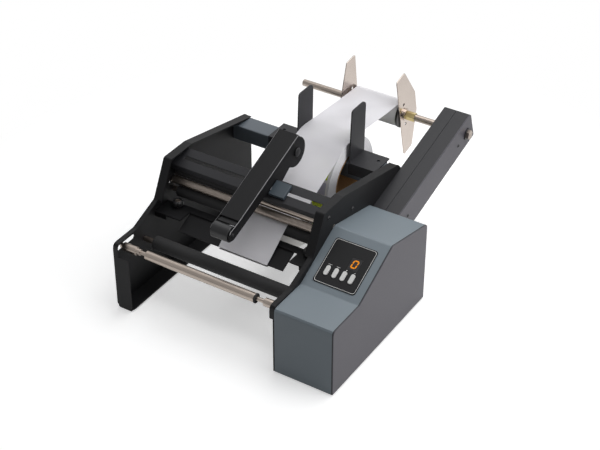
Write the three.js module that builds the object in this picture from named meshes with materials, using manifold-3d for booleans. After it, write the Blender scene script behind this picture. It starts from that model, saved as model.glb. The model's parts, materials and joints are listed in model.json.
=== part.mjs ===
// Desk label applicator: two side plates, a roller bed, a label roll on a cross beam, a liner take-up
// behind it and a control box on the right. Millimetres, X to the right, Y to the back, Z up.
// The side plates, rollers and webs are laid out from the left plate's outer face, the front and the table.
import * as THREE from 'three';
import { mergeVertices } from 'three/addons/utils/BufferGeometryUtils.js';
import Module from 'manifold-3d';

const wasm = await Module();
wasm.setup();

// Clearances
const seatGap = 0.3;
const runGap = 0.4;
const webGap = 0.35;
const overrun = 3;

// Facets of round pieces
const rollerSides = 24;
const smallSides = 16;
const rollSides = 48;
const wheelFacets = 36;
const bendSteps = 3;
const coilSides = 5;
const coilSteps = 8;

// Side plates: corner places as depth from the front and height above the table
const plate = {
  sheet: 2,
  innerWidth: 252.8,
  depth: 330,
  openFront: 42,
  lowTop: 108,
  lowTopEnd: 45,
  rampEnd: 94,
  rampTop: 127,
  steepEnd: 121,
  top: 180,
  shelfEnd: 169,
  tail: 12,
  tailTop: 148,
  rearTop: 135,
  cornerRadius: 8,
  bendRadius: 4,
  topFlange: 13,
  lowFlange: 7,
  frontFlange: 24,
  frontFlangeTop: 88,
  baseFlange: 25,
  slotStart: 6.5,
  slotEnd: 45,
  slotHeight: 8.6,
};
const ledge = { reach: 34, front: 92, back: 124, thickness: 2, lip: 8, lipReach: 21 };
const foot = { size: 20, thickness: 2.5, inset: 12, edge: 2 };

// Cross beam that the label roll hangs on
const beam = { fromBack: 46, width: 30, base: 124, height: 24, wall: 2, corner: 2 };

// Label roll: the stock wound on its core
const roll = { stock: 21.3, left: 113.5, width: 78.5 };
const core = { bore: 38, wall: 3 };

// Roll guides: bent saddles on the beam with upright cheeks
const guide = {
  sheet: 1.8,
  saddleReach: 39,
  lip: 16,
  leftReach: 47,
  rightReach: 43,
  rightGap: 5,
  uprightStart: 4,
  uprightEnd: 41,
  uprightTop: 231,
  topCorner: 5,
  hole: 2.2,
  holeInset: 10,
  holeReach: 25,
};

// Rollers across the frame: place of the axis, radius, journal and length
const front = {
  y: 18, z: 95, radius: 6.5, bodyLeft: 43, bodyRight: 217, ring: 7, ringWidth: 2.4, neck: 3,
  collar: 6, leftCollarStart: 5, leftCollarEnd: 27, midCollar: 4.6, midCollarEnd: 33,
  rightCollarStart: 232, rightCollarEnd: 249, pin: 3.9,
};
const rear = { y: 67, z: 77, radius: 10, leftInset: 18, rightInset: 18.8 };
const drive = { y: 137, z: 121, radius: 9, leftInset: 10, rightInset: 10.8 };
const knurl = { radius: 6, nipGap: 1, journal: 3, inset: 3 };
const knurlSides = 28;
const idler = { y: 146, z: 146, radius: 6 };
const liner = { y: 156, z: 122, radius: 5 };
const journal = 4;

// Webs: the label stock below and the backing liner above
const web = { thickness: 0.5, margin: 0.3, peelY: 84, peelZ: 94.6, peelRadius: 1.1 };

// Label guide plate that the labels peel off over
const guidePlate = {
  thickness: 2, tabTop: 110, tabLeft: 13, tabRight: 246, tabFront: 90, tabBack: 124,
  centreLeft: 46, centreRight: 215, rearEdge: 119, frontNarrow: 7, knobY: 116, knobFromLeft: 24,
  knobFromRight: 19.5,
};
const knob = {
  radius: 8, height: 7, stud: 2, studLength: 8, nut: 4, nutHeight: 2.6, lobes: 6, lobeRadius: 1.6,
};

// Sensor bar and the sensor that slides along it
const bar = {
  sheet: 1.5, frontY: 134, frontZ: 163, backY: 163, backZ: 176, frontLip: 7, backLip: 14,
  slotWidth: 5.6, slotLeft: 15, slotRight: 236, slotShare: 0.5,
};
const sensor = {
  left: 160, width: 24, length: 23, height: 5, clamp: 2.2, clampWidth: 4.4, nut: 4.5, nutHeight: 2,
};

// Press arm with its roller, pin, bracket and spring
const arm = {
  left: 127.5, width: 31.5, sheet: 1.5, pivotY: 208, pivotZ: 195, hubRadius: 22, topBackY: 214, topBackZ: 219,
  topFrontY: 70, topFrontZ: 162.8, depth: 17.5, cutMargin: 17, cutBack: 44, noseY: 54, noseZ: 150,
  noseRadius: 8.5, pinRadius: 4, pinHead: 6.5, pinHeadThickness: 2.4, lip: 6, throatReach: 27.5,
  throatDrop: 11, bellyReach: 22,
};
const press = { radius: 11, sideGap: 0.8, axle: 2.6 };
const hubDegrees = { first: 62, last: -125 };
const noseDegrees = { first: 285, last: 125 };
const bracket = { sheet: 2, sideGap: 1.2, ear: 9, footDepth: 12, footBottom: 163.5, footTop: 177.5 };
const earDegrees = { first: 130, last: -70 };
const spring = { coil: 5.3, wire: 0.65, pitch: 2.1, turns: 6, legLength: 15, legDegrees: 196 };

// Control box on the right plate
const box = {
  width: 88.4, wall: 1.5, panel: 1.6, seam: 0.5, depth: 242, frontTop: 105, slopeStart: 63, slopeEnd: 147,
  slopeTop: 147.5, backTop: 125.5, bend: 6, baseSheet: 2, beltGapBottom: 72, beltGapTop: 104,
  beltGapWidth: 30,
};
const overlay = { left: 11.8, width: 63.5, start: 10.5, length: 69, thickness: 0.5 };
const button = {
  first: 24, pitch: 12.25, along: 30.4, width: 6, length: 14.5, rise: 1.3, stem: 2.2, travel: 1.2, lip: 0.8,
};
const buttonCount = 4;
const windowPane = { left: 47, along: 51, width: 15, length: 18, thickness: 0.6 };
const board = {
  left: 22, width: 60, start: 4, length: 82, thickness: 1.6, drop: 9, switchSize: 6, switchHeight: 3.4,
};

// Motor, belts and pulleys in the control box
const motor = {
  fromBack: 92, z: 60, radius: 24, length: 48, faceFromBox: 21.5, pulley: 8, shaft: 3, shaftIntoCan: 6,
  boreDepth: 9, bracket: 2, bracketHalf: 32,
};
const rollerBelt = { left: 2.6, width: 6.4, thickness: 1.6 };
const takeupBelt = { left: 11.2, width: 6.2, thickness: 1.6 };
const pulley = { rim: 2.2, rear: 12, drive: 10.8, takeup: 12, flange: 1, shaftEnd: 1 };

// Sockets and switch in the back of the control box
const inlet = {
  width: 28, height: 21, depth: 18, acrossShare: 0.3846, z: 34, rim: 2.4, lip: 3, pin: 1.6, pinGap: 7,
  cavity: 12,
};
const powerSwitch = {
  width: 13, height: 19, acrossShare: 0.7466, z: 34, rim: 2, depth: 12, rise: 2.6, degrees: 9, endGap: 0.9,
};
const jack = { radius: 6, bore: 3.2, depth: 14, fromBox: 20, z: 62, nut: 8, nutHeight: 2.2 };

// Take-up arm behind the control box and the mandrel it carries
const takeupArm = {
  leftWidth: 19.4, width: 41.9, wall: 1.5, frontGap: 0.6, frontTop: 117, frontBottom: 71, kneeShare: 0.2335,
  kneeZ: 85, tipBottomY: 467, tipBottomZ: 133, tipTopY: 453, tipTopZ: 174.5, seamGap: 0.4, bend: 3,
  windowInset: 4,
};
const mandrel = {
  y: 444, z: 146, radius: 5.25, left: 22.5, nut: 8, nutHeight: 4.5, washer: 10, washerHeight: 1.2,
};
const wound = { radius: 20, left: 113.5, width: 78 };
const hub = { radius: 21, width: 3.2, sleeve: 8.5 };
const flange = {
  thickness: 1.5, halfHeight: 71, endFront: 13, endBack: 11, bulge: 34, bulgeHalf: 17, corner: 4, leftAt: 108,
  rightGap: 0.6, tiltDegrees: 13, leftTiltDegrees: 8, hole: 2.6, holeOut: 18.5, boss: 9, bossWidth: 3.6,
};
const collar = { radius: 8, length: 14 };

// Finishes
function finish(colour, roughness, metalness) {
  return new THREE.MeshStandardMaterial({ color: colour, roughness, metalness });
}
const finishes = {
  blackPaint: finish('#26262a', 0.55, 0.2),
  greyPaint: finish('#7f8a90', 0.5, 0.2),
  sidePaint: finish('#66646c', 0.5, 0.2),
  steel: finish('#b5aaa2', 0.3, 1),
  blackPlastic: finish('#202124', 0.5, 0),
  greyPlastic: finish('#566068', 0.5, 0),
  palePlastic: finish('#d5d5d3', 0.5, 0),
  overlayFilm: finish('#3a3b3f', 0.45, 0),
  displayFilm: finish('#ff8a20', 0.3, 0),
  rubber: finish('#1c1c1c', 0.85, 0),
  paper: finish('#eceae4', 0.9, 0),
  cardboard: finish('#5a3c20', 0.9, 0),
  zinc: finish('#b79a4a', 0.35, 1),
  circuit: finish('#2c5a3a', 0.6, 0),
  motorMetal: finish('#70747a', 0.4, 0.8),
};

// Solids: a closed geometry becomes a solid for joining and cutting, and a solid a geometry again
function solid(geometry) {
  const bare = geometry.clone();
  bare.deleteAttribute('normal');
  bare.deleteAttribute('uv');
  const merged = mergeVertices(bare);
  const corners = merged.index.array;
  const kept = [];
  for (let i = 0; i < corners.length; i += 3) {
    const [a, b, c] = [corners[i], corners[i + 1], corners[i + 2]];
    if (a !== b && b !== c && c !== a) kept.push(a, b, c);
  }
  return new wasm.Manifold(new wasm.Mesh({
    numProp: 3,
    vertProperties: new Float32Array(merged.attributes.position.array),
    triVerts: new Uint32Array(kept),
  }));
}

function geometryOf(body) {
  const mesh = body.getMesh();
  const geometry = new THREE.BufferGeometry();
  geometry.setAttribute('position', new THREE.BufferAttribute(mesh.vertProperties, mesh.numProp));
  geometry.setIndex(new THREE.BufferAttribute(mesh.triVerts, 1));
  const faceted = geometry.toNonIndexed();
  faceted.computeVertexNormals();
  return faceted;
}

function join(first, ...others) {
  return others.reduce((whole, body) => whole.add(body), first);
}

function cut(whole, ...cutters) {
  return cutters.reduce((left, cutter) => left.subtract(cutter), whole);
}

// A flat outline in Y and Z, or one in the drawing plane, as [across, up] points
function shapeOf(points) {
  return new THREE.Shape(points.map(([across, up]) => new THREE.Vector2(across, up)));
}

function alongX(geometry, x) {
  const turn = new THREE.Matrix4().makeBasis(
    new THREE.Vector3(0, 1, 0),
    new THREE.Vector3(0, 0, 1),
    new THREE.Vector3(1, 0, 0),
  );
  return geometry.applyMatrix4(turn).translate(x, 0, 0);
}

function prism(points, left, right) {
  const geometry = new THREE.ExtrudeGeometry(shapeOf(points), { depth: right - left, bevelEnabled: false });
  return solid(alongX(geometry, left));
}

function block(left, right, near, far, bottom, top) {
  const geometry = new THREE.BoxGeometry(right - left, far - near, top - bottom);
  return solid(geometry.translate((left + right) / 2, (near + far) / 2, (bottom + top) / 2));
}

// Corners given as [y, z, radius] become short arcs
function rounded(corners, closed = true) {
  const points = [];
  corners.forEach(([y, z, radius = 0], i) => {
    const here = new THREE.Vector2(y, z);
    const inner = closed || (i > 0 && i < corners.length - 1);
    if (!radius || !inner) {
      points.push([y, z]);
      return;
    }
    const before = corners[(i + corners.length - 1) % corners.length];
    const after = corners[(i + 1) % corners.length];
    const back = new THREE.Vector2(before[0], before[1]).sub(here);
    const onward = new THREE.Vector2(after[0], after[1]).sub(here);
    const between = Math.abs(back.angleTo(onward));
    const reach = Math.min(radius / Math.tan(between / 2), back.length() / 2, onward.length() / 2);
    const curve = new THREE.QuadraticBezierCurve(
      here.clone().add(back.setLength(reach)),
      here,
      here.clone().add(onward.setLength(reach)),
    );
    curve.getPoints(bendSteps).forEach((point) => points.push([point.x, point.y]));
  });
  return points;
}

// A bent sheet: the path's points, and the same points moved by the thickness to its right-hand side
function bandOutline(path, thickness) {
  const points = path.map(([y, z]) => new THREE.Vector2(y, z));
  const normals = points.slice(1).map((point, i) => {
    const along = point.clone().sub(points[i]).normalize();
    return new THREE.Vector2(along.y, -along.x);
  });
  const far = points.map((point, i) => {
    const first = normals[Math.max(i - 1, 0)];
    const second = normals[Math.min(i, normals.length - 1)];
    const mitre = first.clone().add(second).normalize();
    return point.clone().addScaledVector(mitre, thickness / mitre.dot(first));
  });
  return [...points, ...far.reverse()].map((point) => [point.x, point.y]);
}

// A closed outline drawn in by a distance; its points run clockwise
function inset(outline, distance) {
  const points = outline.map(([y, z]) => new THREE.Vector2(y, z));
  const normalAfter = (i) => {
    const along = points[(i + 1) % points.length].clone().sub(points[i]).normalize();
    return new THREE.Vector2(along.y, -along.x);
  };
  return points.map((point, i) => {
    const first = normalAfter((i + points.length - 1) % points.length);
    const mitre = first.clone().add(normalAfter(i)).normalize();
    const moved = point.clone().addScaledVector(mitre, distance / mitre.dot(first));
    return [moved.x, moved.y];
  });
}

function band(path, thickness, left, right) {
  return prism(bandOutline(path, thickness), left, right);
}

// Turned pieces: [x, radius] steps along an axis parallel to X
function turned(steps, y, z, sides = rollerSides) {
  const profile = steps.map(([x, radius]) => new THREE.Vector2(radius, x));
  profile.unshift(new THREE.Vector2(0, steps[0][0]));
  profile.push(new THREE.Vector2(0, steps[steps.length - 1][0]));
  const geometry = new THREE.LatheGeometry(profile, sides);
  return solid(geometry.rotateZ(-Math.PI / 2).translate(0, y, z));
}

function rod(left, right, radius, y, z, sides = rollerSides) {
  return turned([[left, radius], [right, radius]], y, z, sides);
}

function tube(left, right, radius, bore, y, z, sides = rollerSides) {
  return cut(rod(left, right, radius, y, z, sides), rod(left - overrun, right + overrun, bore, y, z, sides));
}

function upright(radius, bottom, top, x, y, sides = smallSides) {
  const geometry = new THREE.CylinderGeometry(radius, radius, top - bottom, sides);
  return solid(geometry.rotateX(Math.PI / 2).translate(x, y, (bottom + top) / 2));
}

function alongY(radius, near, far, x, z, sides = smallSides) {
  const geometry = new THREE.CylinderGeometry(radius, radius, far - near, sides);
  return solid(geometry.translate(x, (near + far) / 2, z));
}

// A taut web or belt: it runs from wheel to wheel, over a wheel on its right or under one on its left
function tangentRun(from, to) {
  const gap = new THREE.Vector2(to.y - from.y, to.z - from.z);
  const angle = gap.angle() - Math.asin((to.side - from.side) / gap.length());
  const normal = [-Math.sin(angle), Math.cos(angle)];
  const touch = (wheel) => [wheel.y - normal[0] * wheel.side, wheel.z - normal[1] * wheel.side];
  return { start: touch(from), end: touch(to) };
}

function arcBetween(wheel, start, end) {
  const first = Math.atan2(start[1] - wheel.z, start[0] - wheel.y);
  let last = Math.atan2(end[1] - wheel.z, end[0] - wheel.y);
  const turn = Math.sign(wheel.side);
  while (turn * (last - first) < 0) last += turn * 2 * Math.PI;
  const count = Math.max(1, Math.ceil(Math.abs(last - first) / (2 * Math.PI / wheelFacets)));
  const radius = Math.abs(wheel.side);
  const points = [];
  for (let i = 0; i <= count; i += 1) {
    const angle = first + ((last - first) * i) / count;
    points.push([wheel.y + radius * Math.cos(angle), wheel.z + radius * Math.sin(angle)]);
  }
  return points;
}

function openRun(wheels, start, end) {
  const path = start ? [start] : [];
  let arrive = null;
  wheels.slice(1).forEach((wheel, i) => {
    const run = tangentRun(wheels[i], wheel);
    if (arrive) path.push(...arcBetween(wheels[i], arrive, run.start));
    else path.push(run.start);
    arrive = run.end;
  });
  path.push(end ?? arrive);
  return path;
}

function beltLoop(wheels, thickness, left, right) {
  const loopAt = (out) => {
    const grown = wheels.map((wheel) => ({ ...wheel, side: wheel.side + Math.sign(wheel.side) * out }));
    const path = [];
    grown.forEach((wheel, i) => {
      const before = grown[(i + grown.length - 1) % grown.length];
      const after = grown[(i + 1) % grown.length];
      path.push(...arcBetween(wheel, tangentRun(before, wheel).end, tangentRun(wheel, after).start));
    });
    return path;
  };
  return cut(prism(loopAt(thickness), left, right), prism(loopAt(0), left - overrun, right + overrun));
}

// The machine's pieces hang on one group
const machine = new THREE.Group();

function piece(name, body, look, parent = machine) {
  const mesh = new THREE.Mesh(geometryOf(body), look);
  mesh.name = name;
  parent.add(mesh);
  return mesh;
}

// Places worked out from the sizes above
const innerLeft = plate.sheet;
const innerRight = plate.sheet + plate.innerWidth;
const outerRight = innerRight + plate.sheet;
const boxLeft = outerRight + seatGap;
const boxRight = outerRight + box.width;
const plateBottom = foot.thickness;
const tailStart = plate.depth - plate.tail;
const beamFront = plate.depth - beam.fromBack;
const beamTop = beam.base + beam.height;
const beamCentre = beamFront + beam.width / 2;
const hangRadius = core.bore - seatGap - beam.corner;
const hangHalf = beam.width / 2 - beam.corner;
const rollY = beamCentre;
const rollZ = beamTop - beam.corner - Math.sqrt(hangRadius ** 2 - hangHalf ** 2);
const rollRadius = core.bore + core.wall + roll.stock;
const rollRight = roll.left + roll.width;
const knurlY = drive.y;
const knurlZ = drive.z + drive.radius + knurl.radius + knurl.nipGap;
const ledgeTop = guidePlate.tabTop - guidePlate.thickness;
const motorFace = outerRight + motor.faceFromBox;
const motorY = box.depth - motor.fromBack;
const motorPlace = { y: motorY, z: motor.z };
const armSeam = boxLeft + takeupArm.leftWidth;
const armOuter = boxLeft + takeupArm.width;

// Side plates
function plateOutline() {
  return rounded([
    [0, plateBottom],
    [0, plate.lowTop, plate.cornerRadius],
    [plate.lowTopEnd, plate.lowTop, plate.cornerRadius],
    [plate.rampEnd, plate.rampTop, plate.cornerRadius],
    [plate.steepEnd, plate.top, plate.bendRadius],
    [plate.shelfEnd, plate.top, plate.cornerRadius],
    [tailStart, plate.tailTop, plate.cornerRadius],
    [plate.depth, plate.rearTop, plate.cornerRadius],
    [plate.depth, plateBottom],
  ]);
}

function sidePlate(outer, inward, withFront) {
  const inner = outer + inward * plate.sheet;
  const between = (first, second) => [
    Math.min(outer + inward * first, outer + inward * second),
    Math.max(outer + inward * first, outer + inward * second),
  ];
  const outline = plateOutline();
  const widest = plate.baseFlange + overrun;
  const floorTop = plateBottom + plate.sheet;
  const frontReach = withFront ? plate.frontFlange : plate.sheet;
  const ledgeRoot = plate.sheet / 2;
  const beyond = plate.depth + overrun;
  const above = plate.top + overrun;
  let body = cut(
    prism(outline, ...between(0, plate.baseFlange)),
    prism(inset(outline, plate.sheet), ...between(plate.sheet, widest)),
    block(...between(plate.topFlange, widest), plate.rampEnd, beyond, floorTop, above),
    block(...between(plate.lowFlange, widest), -overrun, plate.rampEnd, plate.frontFlangeTop, above),
    block(...between(frontReach, widest), -overrun, plate.rampEnd, floorTop, plate.frontFlangeTop),
    block(...between(plate.sheet, widest), tailStart, beyond, floorTop, plate.top),
  );
  if (!withFront) {
    body = cut(
      body,
      block(...between(plate.sheet, widest), -overrun, plate.openFront, plateBottom - overrun, floorTop),
    );
  }
  const ledgeBase = ledgeTop - ledge.thickness;
  const lipBack = ledge.front + ledge.thickness;
  body = join(
    body,
    block(...between(ledgeRoot, ledge.reach), ledge.front, ledge.back, ledgeBase, ledgeTop),
    block(...between(ledgeRoot, ledge.lipReach), ledge.front, lipBack, ledgeTop - ledge.lip,
      ledgeTop - ledge.thickness / 2),
  );
  const through = [Math.min(outer, inner) - overrun, Math.max(outer, inner) + overrun];
  const hole = (radius, y, z) => rod(...through, radius, y, z, smallSides);
  const half = plate.slotHeight / 2;
  const slot = join(
    block(...through, plate.slotStart + half, plate.slotEnd - half, front.z - half, front.z + half),
    hole(half, plate.slotStart + half, front.z),
    hole(half, plate.slotEnd - half, front.z),
  );
  const knobX = withFront ? knobLeftX : knobRightX;
  const beamNotch = block(
    Math.min(inner, inner + inward * plate.topFlange),
    Math.max(inner, inner + inward * plate.topFlange),
    beamFront - seatGap,
    tailStart + seatGap,
    beam.base,
    beamTop + seatGap,
  );
  return cut(
    body,
    slot,
    beamNotch,
    hole(journal + runGap, rear.y, rear.z),
    hole(journal + runGap, drive.y, drive.z),
    hole(knurl.journal + runGap, knurlY, knurlZ),
    hole(knurl.journal + runGap, idler.y, idler.z),
    hole(knurl.journal + seatGap, liner.y, liner.z),
    upright(knob.stud + seatGap, ledgeBase - overrun, ledgeTop + overrun, knobX, guidePlate.knobY),
  );
}
const knobLeftX = guidePlate.knobFromLeft;
const knobRightX = outerRight - guidePlate.knobFromRight;
piece('left_side_plate', sidePlate(0, 1, true), finishes.blackPaint);
piece('right_side_plate', sidePlate(outerRight, -1, false), finishes.blackPaint);

// Cross beam, a square tube between the plates
const beamOutline = rounded([
  [beamFront, beam.base, beam.corner],
  [beamFront, beamTop, beam.corner],
  [beamFront + beam.width, beamTop, beam.corner],
  [beamFront + beam.width, beam.base, beam.corner],
]);
const beamHollow = block(
  innerLeft - overrun,
  innerRight + overrun,
  beamFront + beam.wall,
  beamFront + beam.width - beam.wall,
  beam.base + beam.wall,
  beamTop - beam.wall,
);
piece(
  'cross_beam',
  cut(prism(beamOutline, innerLeft + seatGap, innerRight - seatGap), beamHollow),
  finishes.greyPaint,
);

// Rubber feet
function footPad(x, y) {
  const half = foot.size / 2;
  return block(x - half, x + half, y - half, y + half, 0, foot.thickness - seatGap);
}
const footNear = foot.inset;
const footFar = plate.depth - foot.inset;
const footLeft = foot.size / 2 + foot.edge;
const footRight = boxRight - foot.size / 2 - foot.edge;
piece('foot_front_left', footPad(footLeft, footNear), finishes.rubber);
piece('foot_rear_left', footPad(footLeft, footFar), finishes.rubber);
piece('foot_front_right', footPad(footRight, footNear), finishes.rubber);
piece('foot_rear_right', footPad(outerRight - footLeft, footFar), finishes.rubber);

// Front roller: a shaft that slides in the plates' slots and a tube that turns on it
piece('front_roller_shaft', turned([
  [seatGap, front.pin],
  [front.leftCollarStart, front.pin],
  [front.leftCollarStart, front.collar],
  [front.leftCollarEnd, front.collar],
  [front.leftCollarEnd, front.midCollar],
  [front.midCollarEnd, front.midCollar],
  [front.midCollarEnd, front.neck],
  [front.rightCollarStart, front.neck],
  [front.rightCollarStart, front.collar],
  [front.rightCollarEnd, front.collar],
  [front.rightCollarEnd, front.pin],
  [outerRight - seatGap, front.pin],
], front.y, front.z), finishes.steel);
const frontRingEnd = front.bodyRight + front.ringWidth;
piece('front_roller', cut(
  turned([
    [front.bodyLeft, front.radius],
    [front.bodyRight, front.radius],
    [front.bodyRight, front.ring],
    [frontRingEnd, front.ring],
  ], front.y, front.z),
  rod(front.bodyLeft - overrun, frontRingEnd + overrun, front.neck + runGap, front.y, front.z),
), finishes.steel);

// Rear roller: a rubber sleeve on a shaft whose right end carries a belt pulley in the control box
const rollerBeltLeft = boxLeft + rollerBelt.left;
const rollerBeltRight = rollerBeltLeft + rollerBelt.width;
const pulleyLeft = rollerBeltLeft - seatGap;
const pulleyRight = rollerBeltRight + seatGap;
function drivenShaft(place, pulleyRadius) {
  return turned([
    [seatGap, journal],
    [pulleyLeft - pulley.flange, journal],
    [pulleyLeft - pulley.flange, pulleyRadius + pulley.rim],
    [pulleyLeft, pulleyRadius + pulley.rim],
    [pulleyLeft, pulleyRadius],
    [pulleyRight, pulleyRadius],
    [pulleyRight, pulleyRadius + pulley.rim],
    [pulleyRight + pulley.flange, pulleyRadius + pulley.rim],
    [pulleyRight + pulley.flange, journal],
    [pulleyRight + pulley.flange + pulley.shaftEnd, journal],
  ], place.y, place.z);
}
function rubberSleeve(place) {
  const left = innerLeft + place.leftInset;
  const right = innerRight - place.rightInset;
  return tube(left, right, place.radius, journal + seatGap, place.y, place.z);
}
piece('rear_roller_shaft', drivenShaft(rear, pulley.rear), finishes.steel);
piece('rear_roller', rubberSleeve(rear), finishes.rubber);

// Drive roller, knurled roller and idler make the nip that pulls the liner
piece('drive_roller_shaft', drivenShaft(drive, pulley.drive), finishes.steel);
piece('drive_roller', rubberSleeve(drive), finishes.rubber);

function steelRoller(radius, y, z, sides) {
  return turned([
    [seatGap, knurl.journal],
    [knurl.inset, knurl.journal],
    [knurl.inset, radius],
    [outerRight - knurl.inset, radius],
    [outerRight - knurl.inset, knurl.journal],
    [outerRight - seatGap, knurl.journal],
  ], y, z, sides);
}
piece('knurled_roller', steelRoller(knurl.radius, knurlY, knurlZ, knurlSides), finishes.steel);
piece('idler_roller', steelRoller(idler.radius, idler.y, idler.z, rollerSides), finishes.steel);
piece('liner_idler', steelRoller(liner.radius, liner.y, liner.z, smallSides), finishes.steel);

// Label roll on its cardboard core
piece('supply_core', tube(roll.left, rollRight, core.bore + core.wall, core.bore, rollY, rollZ, rollSides),
  finishes.cardboard);
const rollBore = core.bore + core.wall + seatGap;
piece('supply_roll', tube(roll.left, rollRight, rollRadius, rollBore, rollY, rollZ, rollSides),
  finishes.paper);

// Webs: wheels on the right of the path have a negative side, wheels on its left a positive one
const webLeft = roll.left + web.margin;
const webRight = rollRight - web.margin;
const peel = { y: web.peelY, z: web.peelZ };
const over = (place, radius) => ({ y: place.y, z: place.z, side: -(radius + webGap + web.thickness) });
const under = (place, radius) => ({ y: place.y, z: place.z, side: radius + webGap });
const rollPlace = { y: rollY, z: rollZ };
const woundPlace = { y: mandrel.y, z: mandrel.z };
const linerWheels = [
  over(peel, web.peelRadius),
  over(drive, drive.radius),
  under(liner, liner.radius),
  over(rollPlace, rollRadius),
  over(woundPlace, wound.radius),
];
piece('liner_return', band(openRun(linerWheels), web.thickness, webLeft, webRight), finishes.paper);
const stockWheels = [under(peel, web.peelRadius + web.thickness), under(rollPlace, rollRadius)]
  .map((wheel, i) => (i ? { ...wheel, side: wheel.side + web.thickness } : wheel));
const stockPath = openRun(stockWheels);
piece('label_stock', band(stockPath, web.thickness, webLeft, webRight), finishes.paper);

// Label guide plate: side tabs under the thumb knobs and a sloping centre that ends in the peel edge
const guideSlope = (guidePlate.tabTop - web.peelZ) / (guidePlate.rearEdge - web.peelY);
const centreTop = rounded([
  [web.peelY + web.peelRadius, web.peelZ + guideSlope * web.peelRadius],
  [guidePlate.rearEdge, guidePlate.tabTop, plate.bendRadius],
  [guidePlate.tabBack, guidePlate.tabTop],
], false);
const tabBlock = (left, right, near) => block(left, right, near, guidePlate.tabBack, ledgeTop + seatGap,
  guidePlate.tabTop);
const guideBody = join(
  band(centreTop, guidePlate.thickness, guidePlate.centreLeft, guidePlate.centreRight),
  tabBlock(guidePlate.tabLeft, guidePlate.tabRight, guidePlate.rearEdge - guidePlate.frontNarrow),
  tabBlock(guidePlate.tabLeft, guidePlate.centreLeft, guidePlate.tabFront),
  tabBlock(guidePlate.centreRight + guidePlate.frontNarrow, guidePlate.tabRight, guidePlate.tabFront),
);
const studHole = (x) => upright(knob.stud + seatGap, ledgeTop - overrun, guidePlate.tabTop + overrun, x,
  guidePlate.knobY);
piece('label_guide_plate', cut(guideBody, studHole(knobLeftX), studHole(knobRightX)), finishes.blackPaint);

function thumbKnob(x) {
  const bottom = guidePlate.tabTop + seatGap;
  const top = bottom + knob.nutHeight + knob.height;
  let body = join(
    upright(knob.stud, bottom - knob.studLength, top, x, guidePlate.knobY, coilSteps),
    upright(knob.nut, bottom, bottom + knob.nutHeight, x, guidePlate.knobY, knob.lobes),
    upright(knob.radius, bottom + knob.nutHeight, top, x, guidePlate.knobY),
  );
  for (let i = 0; i < knob.lobes; i += 1) {
    const angle = (i * 2 * Math.PI) / knob.lobes;
    const flute = upright(knob.lobeRadius, bottom, top + overrun, x + knob.radius * Math.cos(angle),
      guidePlate.knobY + knob.radius * Math.sin(angle), coilSteps);
    body = cut(body, flute);
  }
  return body;
}
piece('guide_knob_left', thumbKnob(knobLeftX), finishes.blackPlastic);
piece('guide_knob_right', thumbKnob(knobRightX), finishes.blackPlastic);

// Sensor bar: a slotted sheet across the plates, with a lip down at the front and the back
const barSlope = new THREE.Vector2(bar.backY - bar.frontY, bar.backZ - bar.frontZ);
const barAngle = barSlope.angle();
const barPath = [
  [bar.frontY, bar.frontZ - bar.frontLip],
  [bar.frontY, bar.frontZ],
  [bar.backY, bar.backZ],
  [bar.backY, bar.backZ - bar.backLip],
];
const barGroup = new THREE.Group();
barGroup.position.set(0, bar.frontY, bar.frontZ);
barGroup.rotation.x = barAngle;
barGroup.updateMatrix();
machine.add(barGroup);
const slotCentre = barSlope.length() * bar.slotShare;
const barSlot = (left, right, near, far) => {
  const geometry = new THREE.BoxGeometry(right - left, far - near, 2 * overrun);
  geometry.translate((left + right) / 2, (near + far) / 2, 0);
  return solid(geometry.applyMatrix4(barGroup.matrix));
};
piece('sensor_bar', cut(
  band(barPath, bar.sheet, innerLeft + seatGap, innerRight - seatGap),
  barSlot(bar.slotLeft, bar.slotRight, slotCentre - bar.slotWidth / 2, slotCentre + bar.slotWidth / 2),
), finishes.blackPaint);
const sensorCentre = sensor.left + sensor.width / 2;
const sensorNear = slotCentre - sensor.length / 2;
const nutTop = -bar.sheet - seatGap;
const nutBottom = nutTop - sensor.nutHeight;
const sensorBlock = (halfWidth, halfLength, bottom, top) => block(sensorCentre - halfWidth,
  sensorCentre + halfWidth, slotCentre - halfLength, slotCentre + halfLength, bottom, top);
piece('label_sensor', join(
  block(sensor.left, sensor.left + sensor.width, sensorNear, sensorNear + sensor.length, seatGap,
    seatGap + sensor.height),
  sensorBlock(sensor.clampWidth / 2, sensor.clamp, nutBottom, sensor.height),
  sensorBlock(sensor.nut, sensor.nut, nutBottom, nutTop),
), finishes.greyPlastic, barGroup);

// Press arm: an inverted channel whose side flanges end in a hub and a rounded nose
const armRight = arm.left + arm.width;
const armTopSlope = (arm.topBackZ - arm.topFrontZ) / (arm.topBackY - arm.topFrontY);
const circleArc = (y, z, radius, firstDegrees, lastDegrees, count) => {
  const points = [];
  for (let i = 0; i <= count; i += 1) {
    const angle = THREE.MathUtils.degToRad(firstDegrees + ((lastDegrees - firstDegrees) * i) / count);
    points.push([y + radius * Math.cos(angle), z + radius * Math.sin(angle)]);
  }
  return points;
};
const armOutline = [
  [arm.topFrontY, arm.topFrontZ],
  [arm.topBackY, arm.topBackZ],
  ...circleArc(arm.pivotY, arm.pivotZ, arm.hubRadius, hubDegrees.first, hubDegrees.last, wheelFacets / 2),
  [arm.pivotY - arm.throatReach, arm.pivotZ - arm.throatDrop],
  [arm.topFrontY + arm.bellyReach, arm.topFrontZ + armTopSlope * arm.bellyReach - arm.depth],
  ...circleArc(arm.noseY, arm.noseZ, arm.noseRadius, noseDegrees.first, noseDegrees.last, smallSides / 2),
];
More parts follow.
